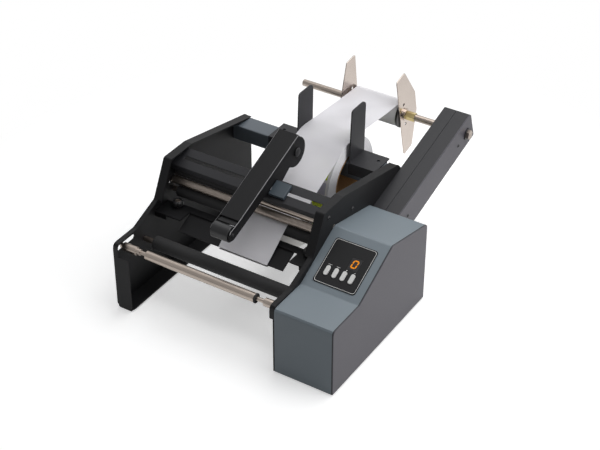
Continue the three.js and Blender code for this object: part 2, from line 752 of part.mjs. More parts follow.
const armCavity = [
  [arm.noseY - arm.cutMargin, arm.noseZ - arm.cutMargin],
  [arm.noseY - arm.cutMargin, arm.topFrontZ + arm.noseRadius],
  [arm.topFrontY, arm.topFrontZ + arm.noseRadius],
  [arm.topFrontY, arm.topFrontZ - arm.lip],
  [arm.topFrontY + arm.sheet, arm.topFrontZ - arm.lip],
  [arm.topFrontY + arm.sheet, arm.topFrontZ + (armTopSlope - 1) * arm.sheet],
  [arm.topBackY, arm.topBackZ - arm.sheet],
  [arm.pivotY + arm.cutBack, arm.topBackZ - arm.sheet],
  [arm.pivotY + arm.cutBack, arm.noseZ - arm.cutMargin],
];
piece('press_arm', cut(
  prism(armOutline, arm.left, armRight),
  prism(armCavity, arm.left + arm.sheet, armRight - arm.sheet),
  rod(arm.left - overrun, armRight + overrun, arm.pinRadius + runGap, arm.pivotY, arm.pivotZ, smallSides),
  rod(arm.left - overrun, armRight + overrun, press.axle + runGap, arm.noseY, arm.noseZ, smallSides),
), finishes.blackPaint);

const pressLeft = arm.left + arm.sheet + press.sideGap;
const pressRight = armRight - arm.sheet - press.sideGap;
piece('press_roller', turned([
  [arm.left - seatGap, press.axle],
  [pressLeft, press.axle],
  [pressLeft, press.radius],
  [pressRight, press.radius],
  [pressRight, press.axle],
  [armRight + seatGap, press.axle],
], arm.noseY, arm.noseZ), finishes.blackPlastic);

const pinReach = arm.pinHeadThickness + seatGap;
piece('press_arm_pin', turned([
  [arm.left - pinReach, arm.pinHead],
  [arm.left - seatGap, arm.pinHead],
  [arm.left - seatGap, arm.pinRadius],
  [armRight + seatGap, arm.pinRadius],
  [armRight + seatGap, arm.pinHead],
  [armRight + pinReach, arm.pinHead],
], arm.pivotY, arm.pivotZ, smallSides), finishes.steel);

// Bracket on the sensor bar's back lip that carries the arm's pin
const bracketLeft = arm.left + arm.sheet + bracket.sideGap;
const bracketRight = armRight - arm.sheet - bracket.sideGap;
const bracketBack = bar.backY + seatGap;
const cheekOutline = [
  [bracketBack, bracket.footBottom],
  [bracketBack, bracket.footTop],
  ...circleArc(arm.pivotY, arm.pivotZ, bracket.ear, earDegrees.first, earDegrees.last, smallSides / 2),
  [bracketBack + bracket.footDepth, bracket.footBottom],
];
piece('press_arm_bracket', cut(
  prism(cheekOutline, bracketLeft, bracketRight),
  block(bracketLeft + bracket.sheet, bracketRight - bracket.sheet, bracketBack + bracket.sheet,
    arm.pivotY + arm.hubRadius, bracket.footBottom - overrun, arm.topBackZ),
  rod(bracketLeft - overrun, bracketRight + overrun, arm.pinRadius + seatGap, arm.pivotY, arm.pivotZ,
    smallSides),
), finishes.blackPaint);

// Torsion spring: one unbroken wire round the pin, with a straight leg at each end
function tubeAlong(points, radius) {
  const positions = [];
  const index = [];
  const frames = points.map((point, i) => {
    const next = points[Math.min(i + 1, points.length - 1)];
    const tangent = next.clone().sub(points[Math.max(i - 1, 0)]).normalize();
    const side = new THREE.Vector3(1, 0, 0).addScaledVector(tangent, -tangent.x).normalize();
    return { point, side, lift: new THREE.Vector3().crossVectors(tangent, side) };
  });
  frames.forEach(({ point, side, lift }) => {
    for (let k = 0; k < coilSides; k += 1) {
      const angle = (k * 2 * Math.PI) / coilSides;
      const rim = point.clone().addScaledVector(side, radius * Math.cos(angle));
      positions.push(...rim.addScaledVector(lift, radius * Math.sin(angle)).toArray());
    }
  });
  for (let i = 0; i < frames.length - 1; i += 1) {
    for (let k = 0; k < coilSides; k += 1) {
      const a = i * coilSides + k;
      const b = i * coilSides + ((k + 1) % coilSides);
      index.push(a, b, b + coilSides, a, b + coilSides, a + coilSides);
    }
  }
  const last = (frames.length - 1) * coilSides;
  for (let k = 1; k < coilSides - 1; k += 1) {
    index.push(0, k + 1, k, last, last + k, last + k + 1);
  }
  const geometry = new THREE.BufferGeometry();
  geometry.setAttribute('position', new THREE.Float32BufferAttribute(positions, 3));
  geometry.setIndex(index);
  return geometry;
}
const springPoints = [];
const springStart = (arm.left + armRight) / 2 - (spring.pitch * spring.turns) / 2;
const legAngle = THREE.MathUtils.degToRad(spring.legDegrees);
const legDirection = new THREE.Vector3(0, Math.sin(legAngle), -Math.cos(legAngle));
const coilPoint = (turn) => {
  const angle = legAngle + turn * 2 * Math.PI;
  return new THREE.Vector3(
    springStart + spring.pitch * turn,
    arm.pivotY + spring.coil * Math.cos(angle),
    arm.pivotZ + spring.coil * Math.sin(angle),
  );
};
springPoints.push(coilPoint(0).addScaledVector(legDirection, spring.legLength));
for (let i = 0; i <= spring.turns * coilSteps; i += 1) springPoints.push(coilPoint(i / coilSteps));
springPoints.push(coilPoint(spring.turns).addScaledVector(legDirection, -spring.legLength));
piece('press_arm_spring', solid(tubeAlong(springPoints, spring.wire)), finishes.steel);
console.log(`press arm spring: least gap between turns ${(spring.pitch - 2 * spring.wire).toFixed(2)} mm`);

// Roll guides: a saddle over the beam, with an upright cheek beside the label roll
function rollGuide(cheekLeft, outward, reach) {
  const bottom = beamTop + seatGap;
  const top = bottom + guide.sheet;
  const outerX = cheekLeft + outward * reach;
  const saddleLeft = Math.min(cheekLeft, outerX);
  const saddleRight = Math.max(cheekLeft + guide.sheet, outerX);
  const frontLip = beamFront - seatGap;
  const backLip = beamFront + beam.width + seatGap;
  const saddleBack = beamFront + guide.saddleReach;
  const cheek = rounded([
    [frontLip, bottom],
    [beamFront + guide.uprightStart, guide.uprightTop, guide.topCorner],
    [beamFront + guide.uprightEnd, guide.uprightTop, guide.topCorner],
    [saddleBack, bottom],
  ]);
  const holeX = outward < 0 ? saddleLeft + guide.holeInset : saddleRight - guide.holeInset;
  const saddle = [
    [frontLip - guide.sheet, bottom - guide.lip],
    [frontLip - guide.sheet, top],
    [saddleBack, top],
    [saddleBack, bottom],
    [backLip + guide.sheet, bottom],
    [backLip + guide.sheet, bottom - guide.lip],
    [backLip, bottom - guide.lip],
    [backLip, bottom],
    [frontLip, bottom],
    [frontLip, bottom - guide.lip],
  ];
  return cut(
    join(prism(saddle, saddleLeft, saddleRight), prism(cheek, cheekLeft, cheekLeft + guide.sheet)),
    upright(guide.hole, bottom - overrun, top + overrun, holeX, beamFront + guide.holeReach),
  );
}
const leftCheek = roll.left - seatGap - guide.sheet;
const rightCheek = rollRight + guide.rightGap;
piece('left_roll_guide', rollGuide(leftCheek, -1, guide.leftReach), finishes.blackPaint);
piece('right_roll_guide', rollGuide(rightCheek, 1, guide.rightReach), finishes.blackPaint);

// Control box: a bent cover, a flat right-hand panel and a base with the motor's bracket
const coverPath = rounded([
  [0, plateBottom],
  [0, box.frontTop, box.bend],
  [box.slopeStart, box.frontTop, box.bend],
  [box.slopeEnd, box.slopeTop, box.bend],
  [box.depth, box.backTop, box.bend],
  [box.depth, plateBottom],
], false);
const coverRight = boxRight - box.panel - box.seam;
const panelGroup = new THREE.Group();
panelGroup.position.set(outerRight, box.slopeStart, box.frontTop);
panelGroup.rotation.x = Math.atan2(box.slopeTop - box.frontTop, box.slopeEnd - box.slopeStart);
panelGroup.updateMatrix();
machine.add(panelGroup);

// Buttons and the openings for them, drawn flat on the sloping panel
function pill(x, along, width, length, bottom, top) {
  const radius = width / 2;
  const reach = length / 2 - radius;
  const outline = new THREE.Shape();
  outline.absarc(x, along + reach, radius, 0, Math.PI, false);
  outline.absarc(x, along - reach, radius, Math.PI, 2 * Math.PI, false);
  return new THREE.ExtrudeGeometry(outline, {
    depth: top - bottom,
    bevelEnabled: false,
    curveSegments: bendSteps * 2,
  }).translate(0, 0, bottom);
}
const buttonX = (i) => button.first + button.pitch * i;
const filmTop = seatGap + overlay.thickness;
const holes = [];
for (let i = 0; i < buttonCount; i += 1) {
  holes.push(pill(buttonX(i), button.along, button.width + seatGap * 2, button.length + seatGap * 2, -overrun,
    overrun));
}
const paneHole = new THREE.BoxGeometry(windowPane.width, windowPane.length, 2 * overrun);
paneHole.translate(windowPane.left + windowPane.width / 2, windowPane.along, 0);
holes.push(paneHole);
const panelHoles = holes.map((hole) => solid(hole.clone()));
const coverHoles = holes.map((hole) => solid(hole.clone().applyMatrix4(panelGroup.matrix)));

const beltGap = block(boxLeft - overrun, boxLeft + box.beltGapWidth, box.depth - overrun, box.depth + overrun,
  box.beltGapBottom, box.beltGapTop);
const inletX = outerRight + box.width * inlet.acrossShare;
const switchX = outerRight + box.width * powerSwitch.acrossShare;
const jackX = outerRight + jack.fromBox;
const rearHole = (x, z, width, height) => block(x - width / 2 - seatGap, x + width / 2 + seatGap,
  box.depth - overrun, box.depth + overrun, z - height / 2 - seatGap, z + height / 2 + seatGap);
piece('control_cover', cut(
  band(coverPath, box.wall, boxLeft, coverRight),
  ...coverHoles,
  beltGap,
  rearHole(inletX, inlet.z, inlet.width, inlet.height),
  rearHole(switchX, powerSwitch.z, powerSwitch.width, powerSwitch.height),
  alongY(jack.radius + seatGap, box.depth - overrun, box.depth + overrun, jackX, jack.z),
), finishes.greyPaint);

const sideOutline = rounded([
  [0, plateBottom],
  [0, box.frontTop, box.bend],
  [box.slopeStart, box.frontTop, box.bend],
  [box.slopeEnd, box.slopeTop, box.bend],
  [box.depth, box.backTop, box.bend],
  [box.depth, plateBottom],
]);
piece('control_side_panel', prism(sideOutline, boxRight - box.panel, boxRight), finishes.sidePaint);

const baseFront = box.wall + seatGap;
const baseBack = box.depth - box.wall - seatGap;
const bracketWall = motorFace - seatGap;
const baseRight = boxRight - box.panel - seatGap;
piece('control_base', cut(
  join(
    block(boxLeft, baseRight, baseFront, baseBack, plateBottom, plateBottom + box.baseSheet),
    block(bracketWall - motor.bracket, bracketWall, motorY - motor.bracketHalf, motorY + motor.bracketHalf,
      plateBottom, motor.z + motor.bracketHalf),
  ),
  rod(bracketWall - motor.bracket - overrun, bracketWall + overrun, motor.shaft + runGap, motorY, motor.z,
    smallSides),
), finishes.sidePaint);

// Panel film, display window, buttons and circuit board lie along the slope
const filmBlock = block(overlay.left, overlay.left + overlay.width, overlay.start,
  overlay.start + overlay.length, seatGap, filmTop);
piece('control_overlay', cut(filmBlock, ...panelHoles), finishes.overlayFilm, panelGroup);
const paneHalf = windowPane.length / 2 - seatGap;
piece('display_window', block(
  windowPane.left + seatGap,
  windowPane.left + windowPane.width - seatGap,
  windowPane.along - paneHalf,
  windowPane.along + paneHalf,
  filmTop - windowPane.thickness - box.wall,
  filmTop,
), finishes.displayFilm, panelGroup);
const boardTop = -box.wall - board.drop;
const switchTop = boardTop + board.switchHeight;
for (let i = 0; i < buttonCount; i += 1) {
  const cap = solid(pill(buttonX(i), button.along, button.width, button.length, -box.wall - button.lip,
    filmTop + button.rise));
  const stem = upright(button.stem, switchTop + seatGap + button.travel, -box.wall, buttonX(i), button.along,
    coilSteps);
  piece(`panel_button_${i + 1}`, join(cap, stem), finishes.palePlastic, panelGroup);
}
const boardPlate = block(board.left, board.left + board.width, board.start, board.start + board.length,
  boardTop - board.thickness, boardTop);
let boardBody = boardPlate;
for (let i = 0; i < buttonCount; i += 1) {
  const half = board.switchSize / 2;
  boardBody = join(boardBody, block(buttonX(i) - half, buttonX(i) + half, button.along - half,
    button.along + half, boardTop - board.thickness / 2, switchTop));
}
boardBody = join(boardBody, block(
  windowPane.left + seatGap,
  windowPane.left + windowPane.width - seatGap,
  windowPane.along - paneHalf,
  windowPane.along + paneHalf,
  boardTop - board.thickness / 2,
  filmTop - windowPane.thickness - box.wall - seatGap,
));
piece('circuit_board', boardBody, finishes.circuit, panelGroup);

// Motor with two belt grooves on its pulley
piece('drive_motor', cut(
  rod(motorFace, motorFace + motor.length, motor.radius, motorY, motor.z),
  rod(motorFace - overrun, motorFace + motor.boreDepth, motor.shaft + runGap, motorY, motor.z, smallSides),
), finishes.motorMetal);
const takeupBeltLeft = boxLeft + takeupBelt.left;
const takeupBeltRight = takeupBeltLeft + takeupBelt.width;
piece('motor_pulley', turned([
  [pulleyLeft - pulley.flange, motor.pulley + pulley.rim],
  [pulleyLeft, motor.pulley + pulley.rim],
  [pulleyLeft, motor.pulley],
  [pulleyRight, motor.pulley],
  [pulleyRight, motor.pulley + pulley.rim],
  [takeupBeltLeft - seatGap, motor.pulley + pulley.rim],
  [takeupBeltLeft - seatGap, motor.pulley],
  [takeupBeltRight + seatGap, motor.pulley],
  [takeupBeltRight + seatGap, motor.shaft],
  [motorFace + motor.shaftIntoCan, motor.shaft],
], motorY, motor.z), finishes.steel);

const wheelOn = (place, radius) => ({ y: place.y, z: place.z, side: radius + seatGap });
piece('roller_belt', beltLoop([
  wheelOn(motorPlace, motor.pulley),
  wheelOn(drive, pulley.drive),
  wheelOn(rear, pulley.rear),
], rollerBelt.thickness, rollerBeltLeft, rollerBeltRight), finishes.rubber);
piece('takeup_belt', beltLoop([
  wheelOn(motorPlace, motor.pulley),
  wheelOn(mandrel, pulley.takeup),
], takeupBelt.thickness, takeupBeltLeft, takeupBeltRight), finishes.rubber);

// Power inlet, rocker switch and pedal socket in the cover's back
function framedBlock(x, z, width, height, depth, rim, lip) {
  return join(
    block(x - width / 2, x + width / 2, box.depth - depth, box.depth + rim, z - height / 2, z + height / 2),
    block(x - width / 2 - lip, x + width / 2 + lip, box.depth + seatGap, box.depth + seatGap + rim,
      z - height / 2 - lip, z + height / 2 + lip),
  );
}
const inletBack = box.depth + seatGap + inlet.rim;
const inletHollow = cut(
  block(inletX - inlet.width / 2 + inlet.rim, inletX + inlet.width / 2 - inlet.rim, inletBack - inlet.cavity,
    inletBack + overrun, inlet.z - inlet.height / 2 + inlet.rim, inlet.z + inlet.height / 2 - inlet.rim),
  ...[-1, 0, 1].map((side) => block(inletX + side * inlet.pinGap - inlet.pin / 2,
    inletX + side * inlet.pinGap + inlet.pin / 2, inletBack - inlet.cavity - overrun,
    inletBack - inlet.rim, inlet.z - inlet.pin, inlet.z + inlet.pin)),
);
piece('power_inlet', cut(
  framedBlock(inletX, inlet.z, inlet.width, inlet.height, inlet.depth, inlet.rim, inlet.lip),
  inletHollow,
), finishes.blackPlastic);

const switchFace = box.depth + seatGap + powerSwitch.rim;
const rockerHalf = powerSwitch.height / 2 - powerSwitch.rim;
const switchHollow = block(switchX - powerSwitch.width / 2 + powerSwitch.rim,
  switchX + powerSwitch.width / 2 - powerSwitch.rim, box.depth - powerSwitch.depth / 2, switchFace + overrun,
  powerSwitch.z - rockerHalf, powerSwitch.z + rockerHalf);
piece('switch_body', cut(
  framedBlock(switchX, powerSwitch.z, powerSwitch.width, powerSwitch.height, powerSwitch.depth,
    powerSwitch.rim, powerSwitch.rim),
  switchHollow,
), finishes.blackPlastic);
const rockerGroup = new THREE.Group();
rockerGroup.position.set(switchX, box.depth + seatGap, powerSwitch.z);
rockerGroup.rotation.x = THREE.MathUtils.degToRad(powerSwitch.degrees);
machine.add(rockerGroup);
const rockerWide = powerSwitch.width / 2 - powerSwitch.rim - runGap;
const rockerReach = rockerHalf - powerSwitch.endGap;
piece('power_switch_rocker', block(-rockerWide, rockerWide, -powerSwitch.rise, powerSwitch.rise, -rockerReach,
  rockerReach), finishes.blackPlastic, rockerGroup);

piece('pedal_socket', cut(
  join(
    alongY(jack.radius, box.depth - jack.depth, box.depth + jack.nutHeight, jackX, jack.z),
    alongY(jack.nut, box.depth + seatGap, box.depth + seatGap + jack.nutHeight, jackX, jack.z, knob.lobes),
  ),
  alongY(jack.bore, box.depth - jack.depth / 2, box.depth + jack.nutHeight + overrun, jackX, jack.z),
), finishes.blackPlastic);

// Take-up arm: two shells that close round the belt
const armFront = box.depth + takeupArm.frontGap;
const kneeY = armFront + (takeupArm.tipBottomY - armFront) * takeupArm.kneeShare;
const shellOutline = rounded([
  [armFront, takeupArm.frontBottom],
  [armFront, takeupArm.frontTop],
  [takeupArm.tipTopY, takeupArm.tipTopZ, takeupArm.bend],
  [takeupArm.tipBottomY, takeupArm.tipBottomZ, takeupArm.bend],
  [kneeY, takeupArm.kneeZ],
]);
const shellHollow = inset(shellOutline, takeupArm.wall);
const windowBottom = takeupArm.frontBottom + takeupArm.windowInset;
const windowTop = takeupArm.frontTop - takeupArm.windowInset;
const shellWindow = block(boxLeft + takeupArm.wall * 2, armOuter - takeupArm.wall * 2, armFront - overrun,
  armFront + overrun, windowBottom, windowTop);
const mandrelHole = rod(boxLeft - overrun, armOuter + overrun, mandrel.radius + runGap, mandrel.y, mandrel.z,
  smallSides);
const shellLeft = cut(
  prism(shellOutline, boxLeft, armSeam - takeupArm.seamGap / 2),
  prism(shellHollow, boxLeft + takeupArm.wall, armSeam + overrun),
  shellWindow,
  mandrelHole,
);
const shellRight = cut(
  prism(shellOutline, armSeam + takeupArm.seamGap / 2, armOuter),
  prism(shellHollow, armSeam - overrun, armOuter - takeupArm.wall),
  shellWindow,
  mandrelHole,
);
piece('takeup_arm_left', shellLeft, finishes.blackPaint);
piece('takeup_arm_right', shellRight, finishes.sidePaint);

// Mandrel, its belt pulley and the hub that the liner winds against
const mandrelEnd = armOuter + seatGap;
piece('mandrel_rod', turned([
  [mandrel.left, mandrel.radius],
  [mandrelEnd, mandrel.radius],
  [mandrelEnd, mandrel.washer],
  [mandrelEnd + mandrel.washerHeight, mandrel.washer],
  [mandrelEnd + mandrel.washerHeight, mandrel.nut],
  [mandrelEnd + mandrel.washerHeight + mandrel.nutHeight, mandrel.nut],
], mandrel.y, mandrel.z, rollerSides), finishes.steel);
const mandrelBore = mandrel.radius + seatGap;
const pulleyWall = pulley.flange;
piece('takeup_pulley', cut(
  turned([
    [takeupBeltLeft - seatGap - pulleyWall, pulley.takeup + pulley.rim],
    [takeupBeltLeft - seatGap, pulley.takeup + pulley.rim],
    [takeupBeltLeft - seatGap, pulley.takeup],
    [takeupBeltRight + seatGap, pulley.takeup],
    [takeupBeltRight + seatGap, pulley.takeup + pulley.rim],
    [takeupBeltRight + seatGap + pulleyWall, pulley.takeup + pulley.rim],
  ], mandrel.y, mandrel.z),
  rod(boxLeft, armOuter, mandrelBore, mandrel.y, mandrel.z),
), finishes.steel);
const hubLeft = wound.left + wound.width + seatGap;
piece('takeup_hub', cut(
  turned([
    [wound.left - seatGap, hub.sleeve],
    [hubLeft, hub.sleeve],
    [hubLeft, hub.radius],
    [hubLeft + hub.width, hub.radius],
  ], mandrel.y, mandrel.z),
  rod(wound.left - overrun, hubLeft + hub.width + overrun, mandrelBore, mandrel.y, mandrel.z),
), finishes.blackPlastic);
piece('wound_liner', tube(wound.left, wound.left + wound.width, wound.radius, hub.sleeve + seatGap, mandrel.y,
  mandrel.z), finishes.paper);

// Flanges that keep the liner's edges in line; each has one straight and one bowed edge
function flangeBody(x, degrees, mirrored, bossSide) {
  const turn = THREE.MathUtils.degToRad(degrees);
  const side = mirrored ? -1 : 1;
  const local = rounded([
    [-flange.endFront, -flange.halfHeight, flange.corner],
    [flange.endBack, -flange.halfHeight, flange.corner],
    [flange.bulge, -flange.bulgeHalf, flange.corner],
    [flange.bulge, flange.bulgeHalf, flange.corner],
    [flange.endBack, flange.halfHeight, flange.corner],
    [-flange.endFront, flange.halfHeight, flange.corner],
  ]);
  const place = ([u, v]) => [
    mandrel.y + side * (u * Math.cos(turn) - v * Math.sin(turn)),
    mandrel.z + side * (u * Math.sin(turn) + v * Math.cos(turn)),
  ];
  const right = x + flange.thickness;
  const bossStart = bossSide < 0 ? x - flange.bossWidth : x;
  const bossEnd = bossSide < 0 ? right : right + flange.bossWidth;
  const holesAt = [[0, flange.holeOut], [0, -flange.holeOut]].map(place);
  return cut(
    join(prism(local.map(place), x, right), rod(bossStart, bossEnd, flange.boss, mandrel.y, mandrel.z)),
    rod(bossStart - overrun, bossEnd + overrun, mandrelBore, mandrel.y, mandrel.z),
    ...holesAt.map(([y, z]) => rod(x - overrun, right + overrun, flange.hole, y, z, coilSteps)),
  );
}
piece('left_flange', flangeBody(flange.leftAt, flange.leftTiltDegrees, true, -1), finishes.blackPaint);
const rightFlangeAt = hubLeft + hub.width + flange.rightGap;
piece('right_flange', flangeBody(rightFlangeAt, flange.tiltDegrees, false, 1), finishes.blackPaint);
const collarLeft = rightFlangeAt + flange.thickness + flange.bossWidth + seatGap;
piece('flange_collar', tube(collarLeft, collarLeft + collar.length, collar.radius, mandrelBore, mandrel.y,
  mandrel.z), finishes.zinc);

// The origin is the middle of the footprint, on the table
const footprint = new THREE.Box3().setFromObject(machine);
const middle = footprint.getCenter(new THREE.Vector3());
machine.position.set(-middle.x, -middle.y, -footprint.min.z);

const applicator = new THREE.Group();
applicator.add(machine);
export default applicator;
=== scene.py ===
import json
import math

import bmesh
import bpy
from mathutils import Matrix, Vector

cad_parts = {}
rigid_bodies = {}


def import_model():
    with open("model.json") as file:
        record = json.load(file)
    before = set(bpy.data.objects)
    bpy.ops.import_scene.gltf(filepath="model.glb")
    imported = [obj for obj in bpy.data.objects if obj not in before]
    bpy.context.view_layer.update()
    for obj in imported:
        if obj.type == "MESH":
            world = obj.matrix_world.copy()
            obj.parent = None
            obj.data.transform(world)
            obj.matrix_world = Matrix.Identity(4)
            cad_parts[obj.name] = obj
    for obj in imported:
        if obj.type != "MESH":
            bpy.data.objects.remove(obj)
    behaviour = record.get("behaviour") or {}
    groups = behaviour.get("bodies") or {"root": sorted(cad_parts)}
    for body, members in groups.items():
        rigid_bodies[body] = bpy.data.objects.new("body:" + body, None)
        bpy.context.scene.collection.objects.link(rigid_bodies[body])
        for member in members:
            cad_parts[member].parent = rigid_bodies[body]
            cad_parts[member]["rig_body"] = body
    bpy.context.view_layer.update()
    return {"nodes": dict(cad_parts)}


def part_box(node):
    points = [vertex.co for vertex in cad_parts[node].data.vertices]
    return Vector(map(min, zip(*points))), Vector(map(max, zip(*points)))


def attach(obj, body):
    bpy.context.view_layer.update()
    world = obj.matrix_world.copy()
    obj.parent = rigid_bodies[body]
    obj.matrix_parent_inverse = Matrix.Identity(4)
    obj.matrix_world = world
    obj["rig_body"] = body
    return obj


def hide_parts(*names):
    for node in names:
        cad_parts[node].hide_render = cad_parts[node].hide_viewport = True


bl_info = {
    "name": "Desk Label Applicator",
    "version": (1, 0, 0),
    "blender": (4, 5, 0),
    "location": "3D View > Sidebar > Applicator",
    "description": "A desk label applicator with sheet-metal plates, rollers, a label roll and a control box",
    "category": "Object",
}

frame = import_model()

MM = 0.001
TINY = 1e-7
PLATE_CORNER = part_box("left_side_plate")[0]
BODY_OF = {node: part["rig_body"] for node, part in frame["nodes"].items()}

# Numbers from here to the properties are in millimetres, counts, shares and degrees aside. A place on the
# machine is a pair: the depth from the plates' front edge and the height above the table.

# Side plates: widths of the bent flanges, what rounds them off at the table, and the rings round the shafts
# (outer and inner radius)
SHEET = 2.05
FRONT_FLANGE = {"width": 24, "inner_corner": 7, "outer_corner": 6}
BASE_FLANGE = {"width": 25, "inner_corner": 8, "outer_corner": 7}
TOP_FLANGE_FROM = 101
BORE_AREA = ((125, 110), (165, 160))
OPEN_BORE = {"place": (129.5, 134.5), "radius": 2.1, "depth": 4}
BUSHING = {"proud": 0.9, "sunk": 0.1, "radii": {
    "rear_roller": (7.6, 4.4), "drive_roller": (7.6, 4.4), "knurled_roller": (5.6, 3.4),
    "idler_roller": (5.6, 3.4), "liner_idler": (5.6, 3.4),
}}
PLATE_SCREWS = {"places": ((193, 147), (132, 168)), "head": 3.2, "height": 1.7}
ARM_SCREWS = {"places": ((418, 139.5), (273, 104)), "head": 2.6, "height": 1.2}

# Rollers: the front one's shaft as steps of its radius along it, counted from the left plate's outer face
SHAFT_STEPS = (
    (0.3, 3.9), (5, 3.9), (5, 6), (27, 6), (27, 4.6), (33, 4.6), (33, 3), (232, 3), (232, 6), (249, 6),
    (249, 3.9), (256.5, 3.9),
)
FRONT_TUBE = {"radius": 6.5, "bore": 3.4, "ring": 2.4, "proud": 0.5}
RUBBER_ROLLERS = {"rear": 10, "drive": 9}
SLEEVE_BORE = 4.2
STEEL_ROLLERS = {"knurled_roller": 6, "idler_roller": 6, "liner_idler": 5}
JOURNAL = {"radius": 3, "length": 2.7}
IDLER_SLEEVE = {"left": 3, "past_middle": 8, "radius": 6.15, "bore": 5.8}

# Webs: where the label stock turns over the peel edge, how thick the paper is and how it waves
PEEL = {"place": (84.0, 94.6), "radius": 1.1}
WEB = {"gap": 0.35, "room": 0.5, "paper": 0.26, "step": 2.0, "full_wave": 100, "stock_share": 0.3}
# Each wave of the slack paper: its share, and its angle in radians across the web, for each row along it and
# at its start
WAVES = ((0.65, 4.6, 0.11, 0.0), (0.35, 9.5, -0.19, 1.0))

# Wound rolls: the board core, and how far each layer's edge wanders sideways (reach, radians for each layer)
CORE = {"wall": 3, "gap": 0.15}
LAYER_WANDER = ((0.16, 2.4), (0.1, 0.7))
LAYER_SINK = 0.1
WINDING = {"bore": 8.8, "layers": 24}

# Labels: gap between them, corner, thickness, ink's thickness, and the first one's turn in label lengths
LABEL = {"gap": 3, "corner": 3, "thickness": 0.12, "ink": 0.05, "phase": 0.5}
# Printed blocks beside the label's right edge: finish, middle and half length as shares of half a label
BLOCKS = (("green print", -0.36, 0.55), ("grey print", 0.62, 0.3))
BLOCK = {"inset": 13, "half_width": 11, "corner": 1.5}
DOTS = {"across": -16, "half_width": 4.4, "half_length": 4.2, "corner": 4.1, "rows": (-0.55, -0.2, 0.15, 0.5)}

# Thumb knobs: the grip's rings as height over its base or under its top, and the share of its radius
KNOB = {
    "lobes": 6, "steps": 12, "radius": 8, "flute": 1.3, "plain_below": 0.6, "lift": 2.9, "nut": 4.4,
    "stud": 2, "insert": 4, "insert_bore": 1.8,
}
KNOB_FOOT = ((0, 0.5), (0, 0.96), (0.4, 1.0))
KNOB_HEAD = ((1.2, 1.0), (0.3, 0.9), (0, 0.72), (0, 0.52), (0.8, 0.46))

# Press arm: its channel's wall, the roller's side as depth and share of its radius, the pin, the lip in front
# of the roller, and the torsion spring
ARM_WALL = 2.3
SHORTEST_FOLD = 1.8
WHEEL = {"axle": 2.6, "side": ((0, 0.55), (0.8, 0.6), (0.8, 0.86), (0, 0.9), (0, 1))}
PIN = {"neck": 4, "head": 2.4}
LIP = {"rear": 71.0, "front": 61.2, "height": 160.4, "sheet": 1.1}
SPRING = {
    "turns": 6, "pitch": 2.1, "coil": 5.3, "wire": 0.65, "leg": 15, "lean": 196, "steps": 28, "leg_steps": 6,
}
GUIDE_CORNER = 9

# Sloping panel of the control box: its lower and upper bends as places, and what lies on it, measured across
# it from its left edge and along it up the slope
PANEL_LOW = (63.0, 105.0)
PANEL_HIGH = (147.0, 147.5)
PANEL_LIFT = 0.3
FILM = {"left": 11.8, "width": 63.5, "start": 10.5, "length": 69.0, "thickness": 0.5, "corner": 4.0}
FILM_TOP = PANEL_LIFT + FILM["thickness"]
FILM_RIGHT = FILM["left"] + FILM["width"]
FILM_END = FILM["start"] + FILM["length"]
BORDER = {"inset": 1.3, "width": 0.5, "height": 0.04, "least_corner": 0.8}
BUTTONS = {"first": 24.0, "pitch": 12.25, "along": 30.4, "width": 6.0, "length": 14.5, "gap": 0.6}
BUTTON_PLACES = [BUTTONS["first"] + BUTTONS["pitch"] * i for i in range(4)]
# Each cap's reach under and over the film's face, and its stem's radius and ends below the panel
CAP = {"under": 3.1, "over": 1.3, "stem": 2.2, "stem_from": -7.2, "stem_to": -2}
# Ticks over the buttons, one row for each: half width, and half height of the bar that makes it a cross
TICKS = ((2.6, 0), (2.6, 0), (0.9, 0.9), (0.9, 0))
TICK = {"lift": 2.15, "half": 0.25}
PANE = {
    "left": 47.0, "along": 51.0, "width": 15.0, "length": 18.0, "thickness": 2, "sunk": 0.02, "corner": 0.6,
    "gap": 0.15,
}
PANE_TOP = FILM_TOP - PANE["sunk"]
DIGIT = {
    "across": 54.4, "along": 51.2, "width": 6.6, "height": 10.6, "bar": 1.8, "gap": 0.3, "slant": 0.12,
    "rise": 0.05,
}
SEAM = {"into_cover": 0.05, "into_panel": 0.3, "proud": 0.12}
PINS = {"pitch": 7, "half_width": 1, "half_height": 2, "offset": 0.6, "length": 9, "under": 3, "corner": 0.5}

# Take-up arm and mandrel: thickness of the right shell's outer skin, painted paler as painted sheen, then the
# rod, the nut and washer on it, and the collar, whose hexagon is a share of its node's radius
SHEEN_SKIN = 2.2
MANDREL = {
    "rod": 5.25, "end": 3, "shoulder": 3.4, "nut": 7, "nut_turn": 12, "nut_height": 4.2, "washer": 9,
    "seat": 0.3, "stack": 1.5,
}
COLLAR = {"bore": 5.55, "hexagon": 0.87, "turn": 15}

# Stage, in metres: the camera was solved from the straight edges of the plates and the box
CAMERA_PLACE = (0.9271, -1.5132, 1.3155)
CAMERA_TURN = (54.72, 0.0, 32.27)
SENSOR = 36
LAMPS = (
    ("overhead", "key_power", (0.25, 0.55, 1.5), (0.0, 0.0, 0.05), 1.5),
    ("front", "fill_power", (-0.9, -1.5, 0.9), (0.0, 0.0, 0.08), 0.9),
    ("right", "side_power", (1.6, 0.1, 0.7), (0.0, 0.0, 0.08), 0.9),
)
FLOOR = {"half": 6.0, "thickness": 0.02, "bounce": 0.36, "tone": 0.95, "glow": 0.38}
# The floor turns into the backdrop between these distances from the machine's middle, by these shares
FLOOR_FADE = {"From Min": 0.25, "From Max": 0.6, "To Min": 0.12, "To Max": 1.0}
# Metal sees the backdrop white behind the machine and darker, like a room, on the camera's side
ROOM = {"From Min": -0.9, "From Max": 0.3, "To Min": 0.25, "To Max": 1.0}
SOFT_LIGHT = {"Color": (0.97, 0.98, 1.0, 1), "Strength": 0.24}

# Angles in degrees: flatter than the first is one face, sharper than the second is rounded, and sharper than
# the third is shaded as an edge
FLAT, ROUNDED, CRISP = 0.4, 32, 50


